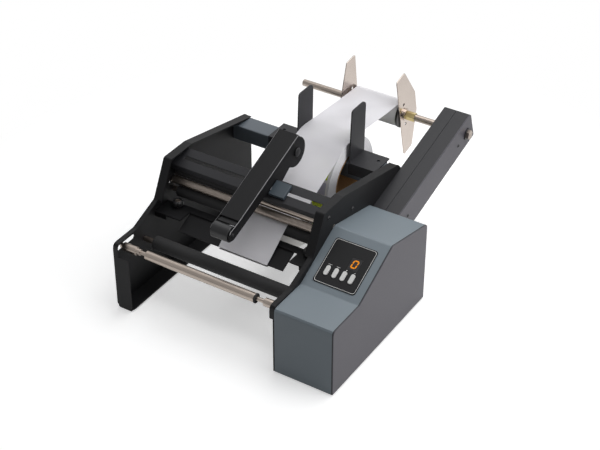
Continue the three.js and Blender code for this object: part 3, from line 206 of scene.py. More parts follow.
def hex_colour(text):
    """An sRGB hex colour as linear red, green and blue."""
    parts = [int(text[i:i + 2], 16) / 255 for i in (1, 3, 5)]
    return tuple(c / 12.92 if c <= 0.04045 else ((c + 0.055) / 1.055) ** 2.4 for c in parts)


def colour_property(name, text, description):
    return bpy.props.FloatVectorProperty(
        name=name, description=description, subtype="COLOR", size=3, min=0, max=1, default=hex_colour(text)
    )


def length_property(name, millimetres, description):
    return bpy.props.FloatProperty(
        name=name, description=description, default=millimetres * MM, min=0, unit="LENGTH", precision=5
    )


def power_property(name, watts, description):
    return bpy.props.FloatProperty(name=name, description=description, default=watts, min=0, unit="POWER")


class ApplicatorColours(bpy.types.PropertyGroup):
    black_paint: colour_property("Black paint", "#111113", "Powder coat of the plates and the press arm")
    # The pale fold coat is a painted highlight along the press arm's upper fold edges
    fold_highlight_paint: colour_property("Fold highlight paint", "#6e6d70", "Black coat painted pale along the arm's folds as a highlight")
    charcoal_paint: colour_property("Charcoal paint", "#28282b", "Coat of take-up arm, sensor bar and guides")
    grey_paint: colour_property("Grey paint", "#727c83", "Powder coat of the control cover")
    beam_paint: colour_property("Beam paint", "#5c636a", "Powder coat of the cross beam")
    # The side paint also covers the take-up arm's right face, where it stands for painted sheen
    side_paint_and_sheen: colour_property("Side paint and arm sheen", "#434148", "Powder coat of the side panel")
    steel: colour_property("Steel", "#aa9f96", "Bare steel of rollers and shafts")
    bright_steel: colour_property("Bright steel", "#c0b4ab", "Cold-rolled sheet of the flanges")
    zinc: colour_property("Yellow zinc", "#d2c08a", "Passivated collar behind the right flange")
    rubber: colour_property("Rubber", "#1b1b1c", "Roller sleeves, belts and feet")
    black_plastic: colour_property("Black plastic", "#1d1d1f", "Press roller, knobs, hub and sockets")
    sensor_grey: colour_property("Sensor grey", "#39434b", "Housing of the label sensor")
    button_grey: colour_property("Button grey", "#d5d5d3", "Caps of the panel buttons")
    film: colour_property("Panel film", "#101012", "Printed film on the control panel")
    ink: colour_property("Pale ink", "#e2e2e0", "Lines printed on the panel film")
    lit_segment: colour_property("Lit segment", "#ff9a1c", "Segments of the digit that are on")
    dark_segment: colour_property("Dark segment", "#3a1d10", "Segments of the digit that are off")
    liner: colour_property("Liner", "#edecef", "Backing paper that carries the labels")
    label: colour_property("Label", "#f0efec", "Face of the labels on the roll")
    print_green: colour_property("Print green", "#d8ea30", "Blocks printed on the labels")
    print_grey: colour_property("Print grey", "#c9c8d6", "Bands printed on the labels")
    board: colour_property("Core board", "#a98257", "Spiral-wound core of the label roll")
    laminate: colour_property("Laminate", "#2c5a3a", "Circuit board")
    motor_metal: colour_property("Motor can", "#80848a", "Plated can of the motor")


class ApplicatorSizes(bpy.types.PropertyGroup):
    sheet_edge: length_property("Sheet edge", 0.35, "Softening of the painted sheet's cut edges")
    fold_edge: length_property("Fold edge", 1.4, "Outer radius of the folds in painted sheet")
    knurl_pitch: length_property("Knurl pitch", 1.8, "Distance between the knurled roller's ridges")
    knurl_depth: length_property("Knurl depth", 0.42, "Depth of the knurled roller's grooves")
    label_length: length_property("Label length", 60.0, "Length of a label along the web")
    label_inset: length_property("Label inset", 3.0, "Bare liner beside the labels")
    web_ripple: length_property("Web ripple", 2.0, "How far the free liner waves out of its plane")
    grit: length_property("Paint grain", 0.7, "Spacing of the powder coat's orange peel")


class ApplicatorStage(bpy.types.PropertyGroup):
    lens: bpy.props.FloatProperty(
        name="Lens", description="Focal length of the camera", default=92.4, min=1, unit="CAMERA"
    )
    key_power: power_property("Key", 20, "Power of the overhead lamp")
    side_power: power_property("Side", 12, "Power of the right lamp")
    fill_power: power_property("Fill", 0.8, "Power of the front lamp")
    backdrop: colour_property("Backdrop", "#ffffff", "Colour that the camera sees behind the object")


# Materials


def add_node(tree, kind, values=None, links=None):
    """Adds a node with its settings and input values. A link comes from a socket or a node's first output."""
    node = tree.nodes.new(kind)
    for key, value in (values or {}).items():
        if isinstance(key, str) and hasattr(node, key):
            setattr(node, key, value)
        else:
            node.inputs[key].default_value = value
    for key, source in (links or {}).items():
        socket = source if isinstance(source, bpy.types.NodeSocket) else source.outputs[0]
        tree.links.new(socket, node.inputs[key])
    return node


def per(millimetres):
    """The texture scale that repeats about once in that many millimetres."""
    return 1 / (millimetres * MM)


def new_material(name, colour, roughness, metallic=0.0, **sockets):
    """A Principled material: its tree, shader and object coordinates, ready for a pattern."""
    made = bpy.data.materials.new(name)
    made.use_nodes = True
    tree = made.node_tree
    tree.nodes.clear()
    values = {"Base Color": (*colour, 1), "Roughness": roughness, "Metallic": metallic}
    shader = add_node(tree, "ShaderNodeBsdfPrincipled", {**values, **sockets})
    add_node(tree, "ShaderNodeOutputMaterial", links={"Surface": shader})
    place = add_node(tree, "ShaderNodeTexCoord").outputs["Object"]
    return made, tree, shader, place


def shaded(colour, factor):
    return (*[min(1.0, c * factor) for c in colour], 1)


def vary_colour(tree, shader, height, dark, light):
    """Colours the surface between two shades by a pattern's height."""
    mix = add_node(tree, "ShaderNodeMix", {"data_type": "RGBA", 6: dark, 7: light}, {0: height})
    tree.links.new(mix.outputs[2], shader.inputs["Base Color"])


def vary_roughness(tree, shader, height, low, high):
    """Makes the surface smoother or rougher by a pattern's height."""
    spread = add_node(tree, "ShaderNodeMapRange", {"To Min": low, "To Max": high}, {"Value": height})
    tree.links.new(spread.outputs[0], shader.inputs["Roughness"])


def raise_surface(tree, shader, height, depth, strength):
    """Raises the surface by a pattern, by at most the depth in millimetres."""
    values = {"Distance": depth * MM, "Strength": strength}
    bump = add_node(tree, "ShaderNodeBump", values, {"Height": height})
    tree.links.new(bump.outputs[0], shader.inputs["Normal"])


def screw_thread(tree, place, starts, pitch):
    """A number that grows by one from turn to turn of a thread round the X axis, with a pitch in mm."""
    split = add_node(tree, "ShaderNodeSeparateXYZ", links={0: place})
    x, y, z = split.outputs
    angle = add_node(tree, "ShaderNodeMath", {"operation": "ARCTAN2"}, {0: y, 1: z})
    share = {"operation": "MULTIPLY", 1: starts / math.tau}
    around = add_node(tree, "ShaderNodeMath", share, {0: angle})
    along = add_node(tree, "ShaderNodeMath", {"operation": "MULTIPLY", 1: per(pitch)}, {0: x})
    return add_node(tree, "ShaderNodeMath", {"operation": "ADD"}, {0: around, 1: along})


def powder_coat(name, colour, roughness, grain, gloss=0.4, depth=0.04, blush=0.06):
    """Polyester powder coat baked on steel sheet: satin, with fine orange peel that scatters the lamps."""
    made, tree, shader, place = new_material(name, colour, roughness, **{"Specular IOR Level": gloss})
    # Real orange peel is about 0.3 mm across. It is drawn coarser, so that it shows.
    peel = add_node(
        tree, "ShaderNodeTexNoise", {"Scale": per(grain), "Detail": 3, "Roughness": 0.6}, {0: place}
    )
    cloud = add_node(tree, "ShaderNodeTexNoise", {"Scale": per(55), "Detail": 2}, {0: place})
    vary_colour(tree, shader, cloud, shaded(colour, 1 - blush), shaded(colour, 1 + blush))
    vary_roughness(tree, shader, peel, roughness - 0.07, roughness + 0.07)
    raise_surface(tree, shader, peel, depth, 0.5)
    return made


def drawn_metal(name, colour, roughness, cloud_size, run, depth=0.01):
    """Bare metal turned, drawn or rolled: fine lines run across its length and break up the highlights."""
    made, tree, shader, place = new_material(name, colour, roughness, 1.0)
    # The run is each line's size along X, Y and Z. Real tool marks are about 0.1 mm apart and drawn coarser.
    stretch = add_node(tree, "ShaderNodeMapping", {"Scale": [per(size) for size in run]}, {0: place})
    lines = add_node(tree, "ShaderNodeTexNoise", {"Scale": 1.0, "Detail": 4, "Roughness": 0.65}, {0: stretch})
    cloud = add_node(tree, "ShaderNodeTexNoise", {"Scale": per(cloud_size), "Detail": 2}, {0: place})
    vary_colour(tree, shader, cloud, shaded(colour, 0.9), shaded(colour, 1.08))
    vary_roughness(tree, shader, lines, roughness - 0.1, roughness + 0.14)
    raise_surface(tree, shader, lines, depth, 0.6)
    return made


def knurled_metal(name, colour, roughness, pitch):
    """Knurled bare steel: dark lines follow the slanting grooves across the bright roller."""
    made, tree, shader, place = new_material(name, colour, roughness, 1.0)
    # Real knurls of this kind are about 1 mm apart. They are drawn coarser, as the size group gives them.
    thread = screw_thread(tree, place, 6, pitch)
    phase = add_node(tree, "ShaderNodeMath", {"operation": "MULTIPLY", 1: math.tau}, {0: thread})
    wave = add_node(tree, "ShaderNodeMath", {"operation": "SINE"}, {0: phase})
    groove = add_node(tree, "ShaderNodeMapRange", {"From Min": -0.9, "From Max": 0.1}, {"Value": wave})
    vary_colour(tree, shader, groove, shaded(colour, 0.22), shaded(colour, 1.12))
    vary_roughness(tree, shader, groove, roughness + 0.2, roughness)
    return made


def moulded(name, colour, roughness, grain, depth=0.02):
    """Injection-moulded plastic or printed ink: an even colour with the mould's fine spark texture."""
    made, tree, shader, place = new_material(name, colour, roughness, IOR=1.46)
    # A real spark texture is 0.05 to 0.2 mm across, and it is drawn coarser so that it shows
    spark = add_node(tree, "ShaderNodeTexNoise", {"Scale": per(grain), "Detail": 2}, {0: place})
    vary_roughness(tree, shader, spark, roughness - 0.06, roughness + 0.08)
    vary_colour(tree, shader, spark, shaded(colour, 0.94), shaded(colour, 1.06))
    raise_surface(tree, shader, spark, depth, 0.4)
    return made


def rubber(name, colour):
    """Ground nitrile rubber: matt, with a fine grey bloom in the grinding marks."""
    made, tree, shader, place = new_material(name, colour, 0.78, IOR=1.52)
    # Real grinding marks are about 0.2 mm wide, and they are drawn coarser so that they show
    grind = {"Scale": per(0.9), "Detail": 5, "Roughness": 0.7}
    marks = add_node(tree, "ShaderNodeTexNoise", grind, {0: place})
    vary_colour(tree, shader, marks, shaded(colour, 0.8), shaded(colour, 1.7))
    raise_surface(tree, shader, marks, 0.06, 0.6)
    return made


def paper(name, colour, roughness, fibre, through=0.0, depth=0.015):
    """Coated paper: nearly even, with faint fibres and a soft sheen. Light may come through it."""
    made, tree, shader, place = new_material(name, colour, roughness, IOR=1.45)
    glow = add_node(tree, "ShaderNodeBsdfTranslucent", {"Color": (*colour, 1)})
    sheet = add_node(tree, "ShaderNodeMixShader", {0: through}, {1: shader, 2: glow})
    tree.links.new(sheet.outputs[0], tree.get_output_node("ALL").inputs["Surface"])
    # Real fibres are 1 to 2 mm long and much thinner than a pixel, so only their length is drawn
    fibres = add_node(
        tree, "ShaderNodeTexNoise", {"Scale": per(fibre), "Detail": 6, "Roughness": 0.7}, {0: place}
    )
    cloud = add_node(tree, "ShaderNodeTexNoise", {"Scale": per(28), "Detail": 2}, {0: place})
    vary_colour(tree, shader, cloud, shaded(colour, 0.95), shaded(colour, 1.03))
    raise_surface(tree, shader, fibres, depth, 0.5)
    return made


def core_board(name, colour):
    """Spiral-wound grey board: brown plies whose seams run round the core at a slant, 40 mm apart."""
    made, tree, shader, place = new_material(name, colour, 0.85, IOR=1.45)
    turn = screw_thread(tree, place, 1, 40)
    saw = add_node(tree, "ShaderNodeMath", {"operation": "FRACT"}, {0: turn})
    seam = add_node(tree, "ShaderNodeMapRange", {"From Max": 0.04}, {"Value": saw})
    fibres = add_node(
        tree, "ShaderNodeTexNoise", {"Scale": per(1.6), "Detail": 6, "Roughness": 0.75}, {0: place}
    )
    blend = add_node(tree, "ShaderNodeMath", {"operation": "MULTIPLY"}, {0: seam, 1: fibres})
    vary_colour(tree, shader, blend, shaded(colour, 0.45), shaded(colour, 1.35))
    raise_surface(tree, shader, blend, 0.08, 0.6)
    return made


def wound_paper(name, colour):
    """The side of a wound roll: hundreds of paper edges, seen as faint rings about the axis."""
    made, tree, shader, place = new_material(name, colour, 0.8, IOR=1.45)
    flat = add_node(tree, "ShaderNodeVectorMath", {"operation": "MULTIPLY", 1: (0, 1, 1)}, {0: place})
    radius = add_node(tree, "ShaderNodeVectorMath", {"operation": "LENGTH"}, {0: flat})
    # Real layers are about 0.15 mm thick. Rings 0.8 mm apart are drawn, as those would melt into one grey.
    rings = add_node(
        tree,
        "ShaderNodeTexNoise",
        {"noise_dimensions": "1D", "Scale": per(0.8), "Detail": 3, "Roughness": 0.7},
        {"W": radius.outputs["Value"]},
    )
    vary_colour(tree, shader, rings, shaded(colour, 0.86), shaded(colour, 1.08))
    raise_surface(tree, shader, rings, 0.08, 0.5)
    return made


def printed_film(name, colour):
    """Back-printed polycarbonate film: a fine velvet texture over dark ink."""
    made, tree, shader, place = new_material(name, colour, 0.55, **{"Specular IOR Level": 0.25})
    # A real velvet texture is about 0.05 mm across, and it is drawn ten times as coarse so that it shows
    velvet = add_node(tree, "ShaderNodeTexNoise", {"Scale": per(0.5), "Detail": 2}, {0: place})
    vary_colour(tree, shader, velvet, shaded(colour, 0.9), shaded(colour, 1.12))
    raise_surface(tree, shader, velvet, 0.015, 0.4)
    return made


def lit_segment(name, colour):
    """A light-emitting segment behind tinted film: it glows evenly and hides its source."""
    sockets = {"Emission Color": (*colour, 1), "Emission Strength": 0.8, "Specular IOR Level": 0.05}
    made, tree, shader, place = new_material(name, shaded(colour, 0.1)[:3], 0.4, **sockets)
    grain = add_node(tree, "ShaderNodeTexNoise", {"Scale": per(0.6)}, {0: place})
    vary_colour(tree, shader, grain, shaded(colour, 0.08), shaded(colour, 0.14))
    return made


def make_materials():
    """Every finish of the applicator by the name of what it is made of."""
    colours = bpy.context.scene.applicator_colours
    sizes = bpy.context.scene.applicator_sizes
    grain = sizes.grit / MM
    around = (0.35, 18, 18)
    upright = (14, 0.5, 22)
    recipes = {
        "black powder coat": (powder_coat, colours.black_paint, 0.54, grain, 0.2),
        "rubbed powder coat": (powder_coat, colours.fold_highlight_paint, 0.3, grain, 0.6),
        "charcoal powder coat": (powder_coat, colours.charcoal_paint, 0.46, grain, 0.28),
        "grey powder coat": (powder_coat, colours.grey_paint, 0.42, grain, 0.42, 0.03, 0.03),
        "beam powder coat": (powder_coat, colours.beam_paint, 0.42, grain, 0.4, 0.03, 0.03),
        "side powder coat": (powder_coat, colours.side_paint_and_sheen, 0.44, grain, 0.36, 0.03, 0.03),
        "turned steel": (drawn_metal, colours.steel, 0.3, 30, around),
        "knurled steel": (knurled_metal, colours.steel, 0.34, sizes.knurl_pitch / MM),
        "rolled steel": (drawn_metal, colours.bright_steel, 0.2, 40, upright, 0.004),
        "yellow zinc": (drawn_metal, colours.zinc, 0.3, 6, around),
        "nitrile rubber": (rubber, colours.rubber),
        "black nylon": (moulded, colours.black_plastic, 0.38, 0.5),
        "polished nylon": (moulded, colours.black_plastic, 0.34, 1.5, 0.004),
        "sensor housing": (moulded, colours.sensor_grey, 0.4, 0.8),
        "button plastic": (moulded, colours.button_grey, 0.45, 0.6),
        "panel film": (printed_film, colours.film),
        "display window": (moulded, colours.film, 0.35, 3.0, 0.002),
        "pale ink": (moulded, colours.ink, 0.5, 0.7, 0.004),
        "lit segment": (lit_segment, colours.lit_segment),
        "dark segment": (moulded, colours.dark_segment, 0.4, 0.6, 0.004),
        "silicone liner": (paper, colours.liner, 0.42, 1.4, 0.3),
        "label paper": (paper, colours.label, 0.55, 1.0),
        "green print": (paper, colours.print_green, 0.5, 1.0),
        "grey print": (paper, colours.print_grey, 0.5, 1.0),
        "wound paper": (wound_paper, colours.liner),
        "core board": (core_board, colours.board),
        "glass-fibre laminate": (moulded, colours.laminate, 0.4, 0.6),
        "plated motor can": (drawn_metal, colours.motor_metal, 0.34, 20, around),
    }
    made = {}
    for name, (finish, *values) in recipes.items():
        made[name] = finish(name.replace(" ", "_").replace("-", "_"), *values)
    return made


MATERIALS = {}


def material(name):
    if not MATERIALS:
        MATERIALS.update(make_materials())
    return MATERIALS[name]


# Shapes


def machine(x, y, z):
    """A point of the machine, in millimetres from the left plate's front edge and the table, in the frame."""
    return Vector((PLATE_CORNER.x + x * MM, PLATE_CORNER.y + y * MM, z * MM))


def middle(node):
    low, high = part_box(node)
    return (low + high) / 2


def radius_of(node):
    """The radius of a round node that lies along X."""
    low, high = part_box(node)
    return (high.z - low.z) / 2


def scaled(points):
    return [(x * MM, y * MM) for x, y in points]


def solid_of(node):
    """A node's own solid with its flat facets joined."""
    mesh = bmesh.new()
    mesh.from_mesh(frame["nodes"][node].data)
    bmesh.ops.remove_doubles(mesh, verts=mesh.verts, dist=2e-6)
    bmesh.ops.dissolve_limit(mesh, angle_limit=math.radians(FLAT), verts=mesh.verts, edges=mesh.edges)
    return mesh


def skin(mesh, rings, loop=False):
    """Lays faces between neighbouring rings of vertices. A ring of one vertex is a point."""
    pairs = list(zip(rings, rings[1:]))
    if loop:
        pairs.append((rings[-1], rings[0]))
    sides = max(len(ring) for ring in rings)
    for first, second in pairs:
        for k in range(sides):
            after = (k + 1) % sides
            corners = [first[k % len(first)], first[after % len(first)]]
            corners += [second[after % len(second)], second[k % len(second)]]
            unique = list(dict.fromkeys(corners))
            if len(unique) > 2:
                mesh.faces.new(unique)


def outward(mesh):
    """Turns all faces of a closed mesh outward."""
    bmesh.ops.recalc_face_normals(mesh, faces=mesh.faces)
    return mesh


def capped(mesh, rings):
    """A solid from rings of vertices, with a flat face at each end."""
    skin(mesh, rings)
    mesh.faces.new(rings[0])
    mesh.faces.new(rings[-1])
    return outward(mesh)


def moved(mesh, matrix):
    bmesh.ops.transform(mesh, matrix=matrix, verts=mesh.verts)
    return mesh


def joined(*meshes):
    """Several loose solids as one mesh."""
    whole = bmesh.new()
    for part in meshes:
        scratch = bpy.data.meshes.new("scratch")
        part.to_mesh(scratch)
        part.free()
        whole.from_mesh(scratch)
        bpy.data.meshes.remove(scratch)
    return whole


# Quarter turns that lay a shape drawn along one axis along another
Z_TO_X = Matrix.Rotation(math.pi / 2, 4, "Y")
X_TO_Z = Matrix.Rotation(-math.pi / 2, 4, "Y")
Z_TO_Y = Matrix.Rotation(math.pi / 2, 4, "X")


def prism(outline, bottom, top):
    """A flat outline drawn in X and Y, raised from bottom to top."""
    mesh = bmesh.new()
    low, high = [[mesh.verts.new((x, y, level)) for x, y in outline] for level in (bottom, top)]
    mesh.faces.new(list(reversed(low)))
    mesh.faces.new(high)
    skin(mesh, [low, high])
    return outward(mesh)


def plank(outline, left, right):
    """A flat outline drawn in Y and Z, raised along X."""
    return moved(prism([(-z, y) for y, z in outline], left, right), Z_TO_X)


def beam(outline, near, far):
    """A flat outline drawn in X and Z, raised along Y."""
    return moved(prism(outline, -far, -near), Z_TO_Y)


def arc(centre, radius, first, last, steps):
    """Points round a centre from the first to the last angle, in degrees."""
    points = []
    for i in range(steps + 1):
        angle = math.radians(first + (last - first) * i / steps)
        points.append((centre[0] + radius * math.cos(angle), centre[1] + radius * math.sin(angle)))
    return points


def polygon(sides, radius, turn=0.0, centre=(0.0, 0.0)):
    return arc(centre, radius, turn, turn + 360, sides)[:-1]


def rounded_box(left, right, near, far, radius, steps=6):
    """A rectangle's outline with round corners."""
    corners = ((right, far, 0), (left, far, 90), (left, near, 180), (right, near, 270))
    points = []
    for x, y, start in corners:
        inner = (x - radius if x == right else x + radius, y - radius if y == far else y + radius)
        points += arc(inner, radius, start, start + 90, steps)
    return points


def pill(x, y, width, length, steps=10):
    radius = width / 2
    reach = length / 2 - radius
    return arc((x, y + reach), radius, 0, 180, steps) + arc((x, y - reach), radius, 180, 360, steps)


def corner_wedge(corner, way, radius):
    """What a round corner leaves of a square one, as an outline; way gives its heading as two signs."""
    centre = [place - sign * radius for place, sign in zip(corner, way)]
    heading = math.degrees(math.atan2(way[1], way[0]))
    curve = arc(centre, radius, heading - 45, heading + 45, 10)
    beyond = [place + sign * MM for place, sign in zip(corner, way)]

    def past(point):
        return [place + (place - core) / radius * MM for place, core in zip(point, centre)]

    return [*curve, past(curve[-1]), beyond, past(curve[0])]


def on_face(edge, x):
    return all(abs(vert.co.x - x) < 1e-5 for vert in edge.verts)


def round_edges(mesh, chosen, radius, segments=4, finish=0):
    """Rounds the edges of a mesh that a test picks, and gives the new faces a finish by its number."""
    edges = [edge for edge in mesh.edges if chosen(edge)]
    bmesh.ops.bevel(mesh, geom=edges, offset=radius, segments=segments, profile=0.5, affect="EDGES",
                    clamp_overlap=True, material=finish)
    return mesh


def eased(outline, size, closed=False):
    """An (along, radius) outline with every corner cut back a little, so that light catches it."""
    points = [Vector(point) for point in outline]
    made = []
    for i, here in enumerate(points):
        inner = closed or 0 < i < len(points) - 1
        before = points[i - 1] - here
        after = points[(i + 1) % len(points)] - here
        if not inner or min(before.length, after.length) < size * 2 or here.y < TINY:
            made.append(here)
            continue
        made += [here + before.normalized() * size, here + after.normalized() * size]
    return made


def round_ring(mesh, along, reaches):
    """Vertices round the X axis at one place along it, as far out as each reach says."""
    ring = []
    for k, reach in enumerate(reaches):
        angle = math.tau * k / len(reaches)
        ring.append(mesh.verts.new((along, reach * math.cos(angle), reach * math.sin(angle))))
    return ring


def turned(outline, sides=96, closed=False):
    """A solid turned round the X axis from (along, radius) points; an open outline ends on the axis."""
    mesh = bmesh.new()
    rings = [round_ring(mesh, along, [radius] * (1 if radius < TINY else sides)) for along, radius in outline]
    skin(mesh, rings, closed)
    return outward(mesh)


def rod(steps, ease, sides):
    """A solid bar from (along, radius) steps."""
    return turned(eased([(steps[0][0], 0.0), *steps, (steps[-1][0], 0.0)], ease), sides)


def tube(left, right, radius, bore, ease, sides):
    """A ring or tube."""
    outline = [(left, bore), (left, radius), (right, radius), (right, bore)]
    return turned(eased(outline, ease, True), sides, True)


def knurled(left, right, radius, pitch, depth, inset):
    """A roller with diamond knurling: two sets of slanting grooves that cross."""
    per_pitch = 4
    sides = round(math.tau * radius / pitch) * per_pitch
    length = right - left - 2 * inset
    rows = round(length / pitch * per_pitch)

    def reach(row, k):
        up, down = [abs(place / per_pitch % 1 * 2 - 1) for place in (row + k, row - k)]
        return radius - depth * (1 - min(up, down))

    mesh = bmesh.new()
    plain = [radius - depth] * sides
    rings = [round_ring(mesh, left, [0]), round_ring(mesh, left, plain)]
    for row in range(rows + 1):
        along = left + inset + length * row / rows
        rings.append(round_ring(mesh, along, [reach(row, k) for k in range(sides)]))
    rings += [round_ring(mesh, right, plain), round_ring(mesh, right, [0])]
    skin(mesh, rings)
    return outward(mesh)


def tube_along(points, radius, sides=14):
    """A round wire along a list of points, closed at both ends."""
    mesh = bmesh.new()
    rings = []
    for i, point in enumerate(points):
        ahead = (points[min(i + 1, len(points) - 1)] - points[max(i - 1, 0)]).normalized()
        side = (Vector((1, 0, 0)) - ahead * ahead.x).normalized()
        lift = ahead.cross(side)
        angles = [math.tau * k / sides for k in range(sides)]
        rings.append([mesh.verts.new(point + side * radius * math.cos(a) + lift * radius * math.sin(a))
                      for a in angles])
    return capped(mesh, rings)


def one_side(mesh, x, right):
    """The part of a closed mesh that lies on one side of an X place, closed again."""
    geometry = [*mesh.verts, *mesh.edges, *mesh.faces]
    cut = bmesh.ops.bisect_plane(mesh, geom=geometry, plane_co=(x, 0, 0), plane_no=(1, 0, 0),
                                 clear_inner=right, clear_outer=not right)
    edges = [item for item in cut["geom_cut"] if isinstance(item, bmesh.types.BMEdge)]
    bmesh.ops.holes_fill(mesh, edges=edges, sides=0)
    return mesh


def thin_copy(node, left, right, grow):
    """A node's outline as a thin sheet between two X places, a little larger all round."""
    mesh = solid_of(node)
    low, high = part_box(node)
    centre = middle(node)
    size = high - low
    for vert in mesh.verts:
        vert.co.x = left if vert.co.x < centre.x else right
        vert.co.y = centre.y + (vert.co.y - centre.y) * (1 + 2 * grow / size.y)
        vert.co.z = centre.z + (vert.co.z - centre.z) * (1 + 2 * grow / size.z)
    return mesh


# Pieces


def plain_object(name, mesh, matrix=None):
    data = bpy.data.meshes.new(name)
    mesh.to_mesh(data)
    mesh.free()
    made = bpy.data.objects.new(name, data)
    bpy.context.scene.collection.objects.link(made)
    made.matrix_world = matrix or Matrix.Identity(4)
    return made


def settle(made):
    """Applies an object's modifiers to its mesh."""
    bpy.context.view_layer.update()
    graph = bpy.context.evaluated_depsgraph_get()
    final = bpy.data.meshes.new_from_object(made.evaluated_get(graph))
    made.modifiers.clear()
    made.data = final


def carve(made, cutters):
    """Cuts closed meshes, given in the object's own axes, out of an object."""
    for mesh in cutters:
        tool = plain_object("cutter", mesh, made.matrix_world.copy())
        cutting = made.modifiers.new("cut", "BOOLEAN")
        cutting.object = tool
        cutting.solver = "EXACT"
        settle(made)
        bpy.data.objects.remove(tool)


def soften(made, width, segments=2):
    """Rounds an object's sharp edges and shades what is left smoothly."""
    if width > 0:
        bevel = made.modifiers.new("edge", "BEVEL")
        bevel.width = width
        bevel.segments = segments
        bevel.limit_method = "ANGLE"
        bevel.angle_limit = math.radians(ROUNDED)
        settle(made)
    for face in made.data.polygons:
        face.use_smooth = True
    made.data.set_sharp_from_angle(angle=math.radians(CRISP))
    weigh = made.modifiers.new("shade", "WEIGHTED_NORMAL")
    weigh.keep_sharp = True
    settle(made)


def add_piece(name, mesh, finish, node, instead=False, edge=0.0, segments=2, matrix=None, cutters=(),
              folds=None):
    """Adds a piece that rides on a node's body, and may stand instead of the node."""
    made = plain_object(name, mesh, matrix)
    carve(made, cutters)
    soften(made, edge, segments)
    if not folds:
        made.data.materials.clear()
    made.data.materials.append(material(finish))
    if folds:
        made.data.materials.append(material(folds))
    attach(made, BODY_OF[node])
    if instead:
        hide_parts(node)
    return made


def dress(name, node, finish, edge=None, segments=2):
    """A node's own shape with softened edges."""
    width = bpy.context.scene.applicator_sizes.sheet_edge if edge is None else edge
    return add_piece(name, solid_of(node), finish, node, True, width, segments)


def on_axis(node):
    """A matrix that lays a turned piece on a node's own axis."""
    centre = middle(node)
    return Matrix.Translation((0, centre.y, centre.z))


def panel_matrix():
    """Axes of the control panel: X across it, Y up the slope and Z out of it."""
    run = PANEL_HIGH[0] - PANEL_LOW[0]
    rise = PANEL_HIGH[1] - PANEL_LOW[1]
    start = machine(0, *PANEL_LOW)
    start.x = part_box("right_side_plate")[1].x
    return Matrix.Translation(start) @ Matrix.Rotation(math.atan2(rise, run), 4, "X")


# Each screw is made about the X axis, with its head looking along it. A facing turns it to the way it looks.
FACE_LEFT = Matrix.Rotation(math.pi, 4, "Z")
FACE_RIGHT = Matrix.Identity(4)


def socket_screw(head, height):
    """A button-head screw with a hexagon socket, and the solid that cuts the socket."""
    dome = []
    for share in (0.0, 0.35, 0.6, 0.8, 0.93, 1.0):
        dome.append((height * math.sqrt(max(0.0, 1 - share ** 2)) * 0.9 + height * 0.1, head * share))
    mesh = turned([*dome, (0.0, head), (-height, head * 0.5), (-height, 0.0)], 32)
    return mesh, moved(prism(polygon(6, head * 0.42), height * 0.35, height * 2), Z_TO_X)


def add_screws(name, screws, x, facing, node):
    """A group of like screws on one face of a node."""
    parts = []
    for y, z in screws["places"]:
        body, hollow = socket_screw(screws["head"] * MM, screws["height"] * MM)
        screw = plain_object("screw", body)
        carve(screw, [hollow])
        cut = bmesh.new()
        cut.from_mesh(screw.data)
        bpy.data.objects.remove(screw)
        spot = machine(0, y, z)
        spot.x = x
        parts.append(moved(cut, Matrix.Translation(spot) @ facing))
    return add_piece(name, joined(*parts), "black nylon", node)


# The operators, one for each group of pieces


class PieceOperator:
    bl_options = {"REGISTER", "UNDO"}


class APPLICATOR_OT_side_plates(PieceOperator, bpy.types.Operator):
    """Adds the two side plates with the bushings of the rollers and the screws of the tie bars"""

    bl_idname = "applicator.side_plates"
    bl_label = "Side Plates"

    def execute(self, context):
        sizes = context.scene.applicator_sizes
        for side, end in (("left", 0), ("right", 1)):
            node = f"{side}_side_plate"
            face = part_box(node)[end].x
            sheet = round_edges(solid_of(node), lambda edge: self.is_fold(edge, face), sizes.fold_edge, 3)
            holes = []
            if side == "left":
                bore = machine(0, *OPEN_BORE["place"])
                drill = polygon(24, OPEN_BORE["radius"] * MM, centre=(bore.y, bore.z))
                holes.append(plank(drill, face - MM, face + OPEN_BORE["depth"] * MM))
                holes += self.lower_corners(*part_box(node)[0])
            add_piece(f"{side}_plate_sheet", sheet, "black powder coat", node, True, sizes.sheet_edge,
                      cutters=holes)
        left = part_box("left_side_plate")[0].x
        start, end = left - BUSHING["proud"] * MM, left + BUSHING["sunk"] * MM
        for node, (radius, bore) in BUSHING["radii"].items():
            ring = tube(start, end, radius * MM, bore * MM, ease=0.25 * MM, sides=48)
            add_piece(f"{node}_bushing", ring, "black nylon", "left_side_plate", matrix=on_axis(node))
        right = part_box("right_side_plate")[1].x
        add_screws("right_plate_screws", PLATE_SCREWS, right, FACE_RIGHT, "right_side_plate")
        add_screws("left_plate_screws", PLATE_SCREWS, left, FACE_LEFT, "left_side_plate")
        return {"FINISHED"}

    def lower_corners(self, x, y, z):
        """What comes off the front flange and the base flange where they meet at the table."""
        inner = x + FRONT_FLANGE["width"] * MM
        side = x + BASE_FLANGE["width"] * MM
        front = (y - MM, y + SHEET * MM)
        return [
            beam(corner_wedge((inner, z), (1, -1), FRONT_FLANGE["inner_corner"] * MM), *front),
            prism(corner_wedge((side, y), (1, -1), BASE_FLANGE["inner_corner"] * MM), z - MM, z + SHEET * MM),
            beam(corner_wedge((x, z), (-1, -1), FRONT_FLANGE["outer_corner"] * MM), *front),
            plank(corner_wedge((y, z), (-1, -1), BASE_FLANGE["outer_corner"] * MM), x - MM, x + SHEET * MM),
        ]

    def is_fold(self, edge, face):
        """An edge of the outer face along the top flange, away from the rollers' bores."""
        low, high = [machine(0, *corner) for corner in BORE_AREA]
        centre = (edge.verts[0].co + edge.verts[1].co) / 2
        by_bores = low.y < centre.y < high.y and low.z < centre.z < high.z
        return on_face(edge, face) and centre.z > TOP_FLANGE_FROM * MM and not by_bores


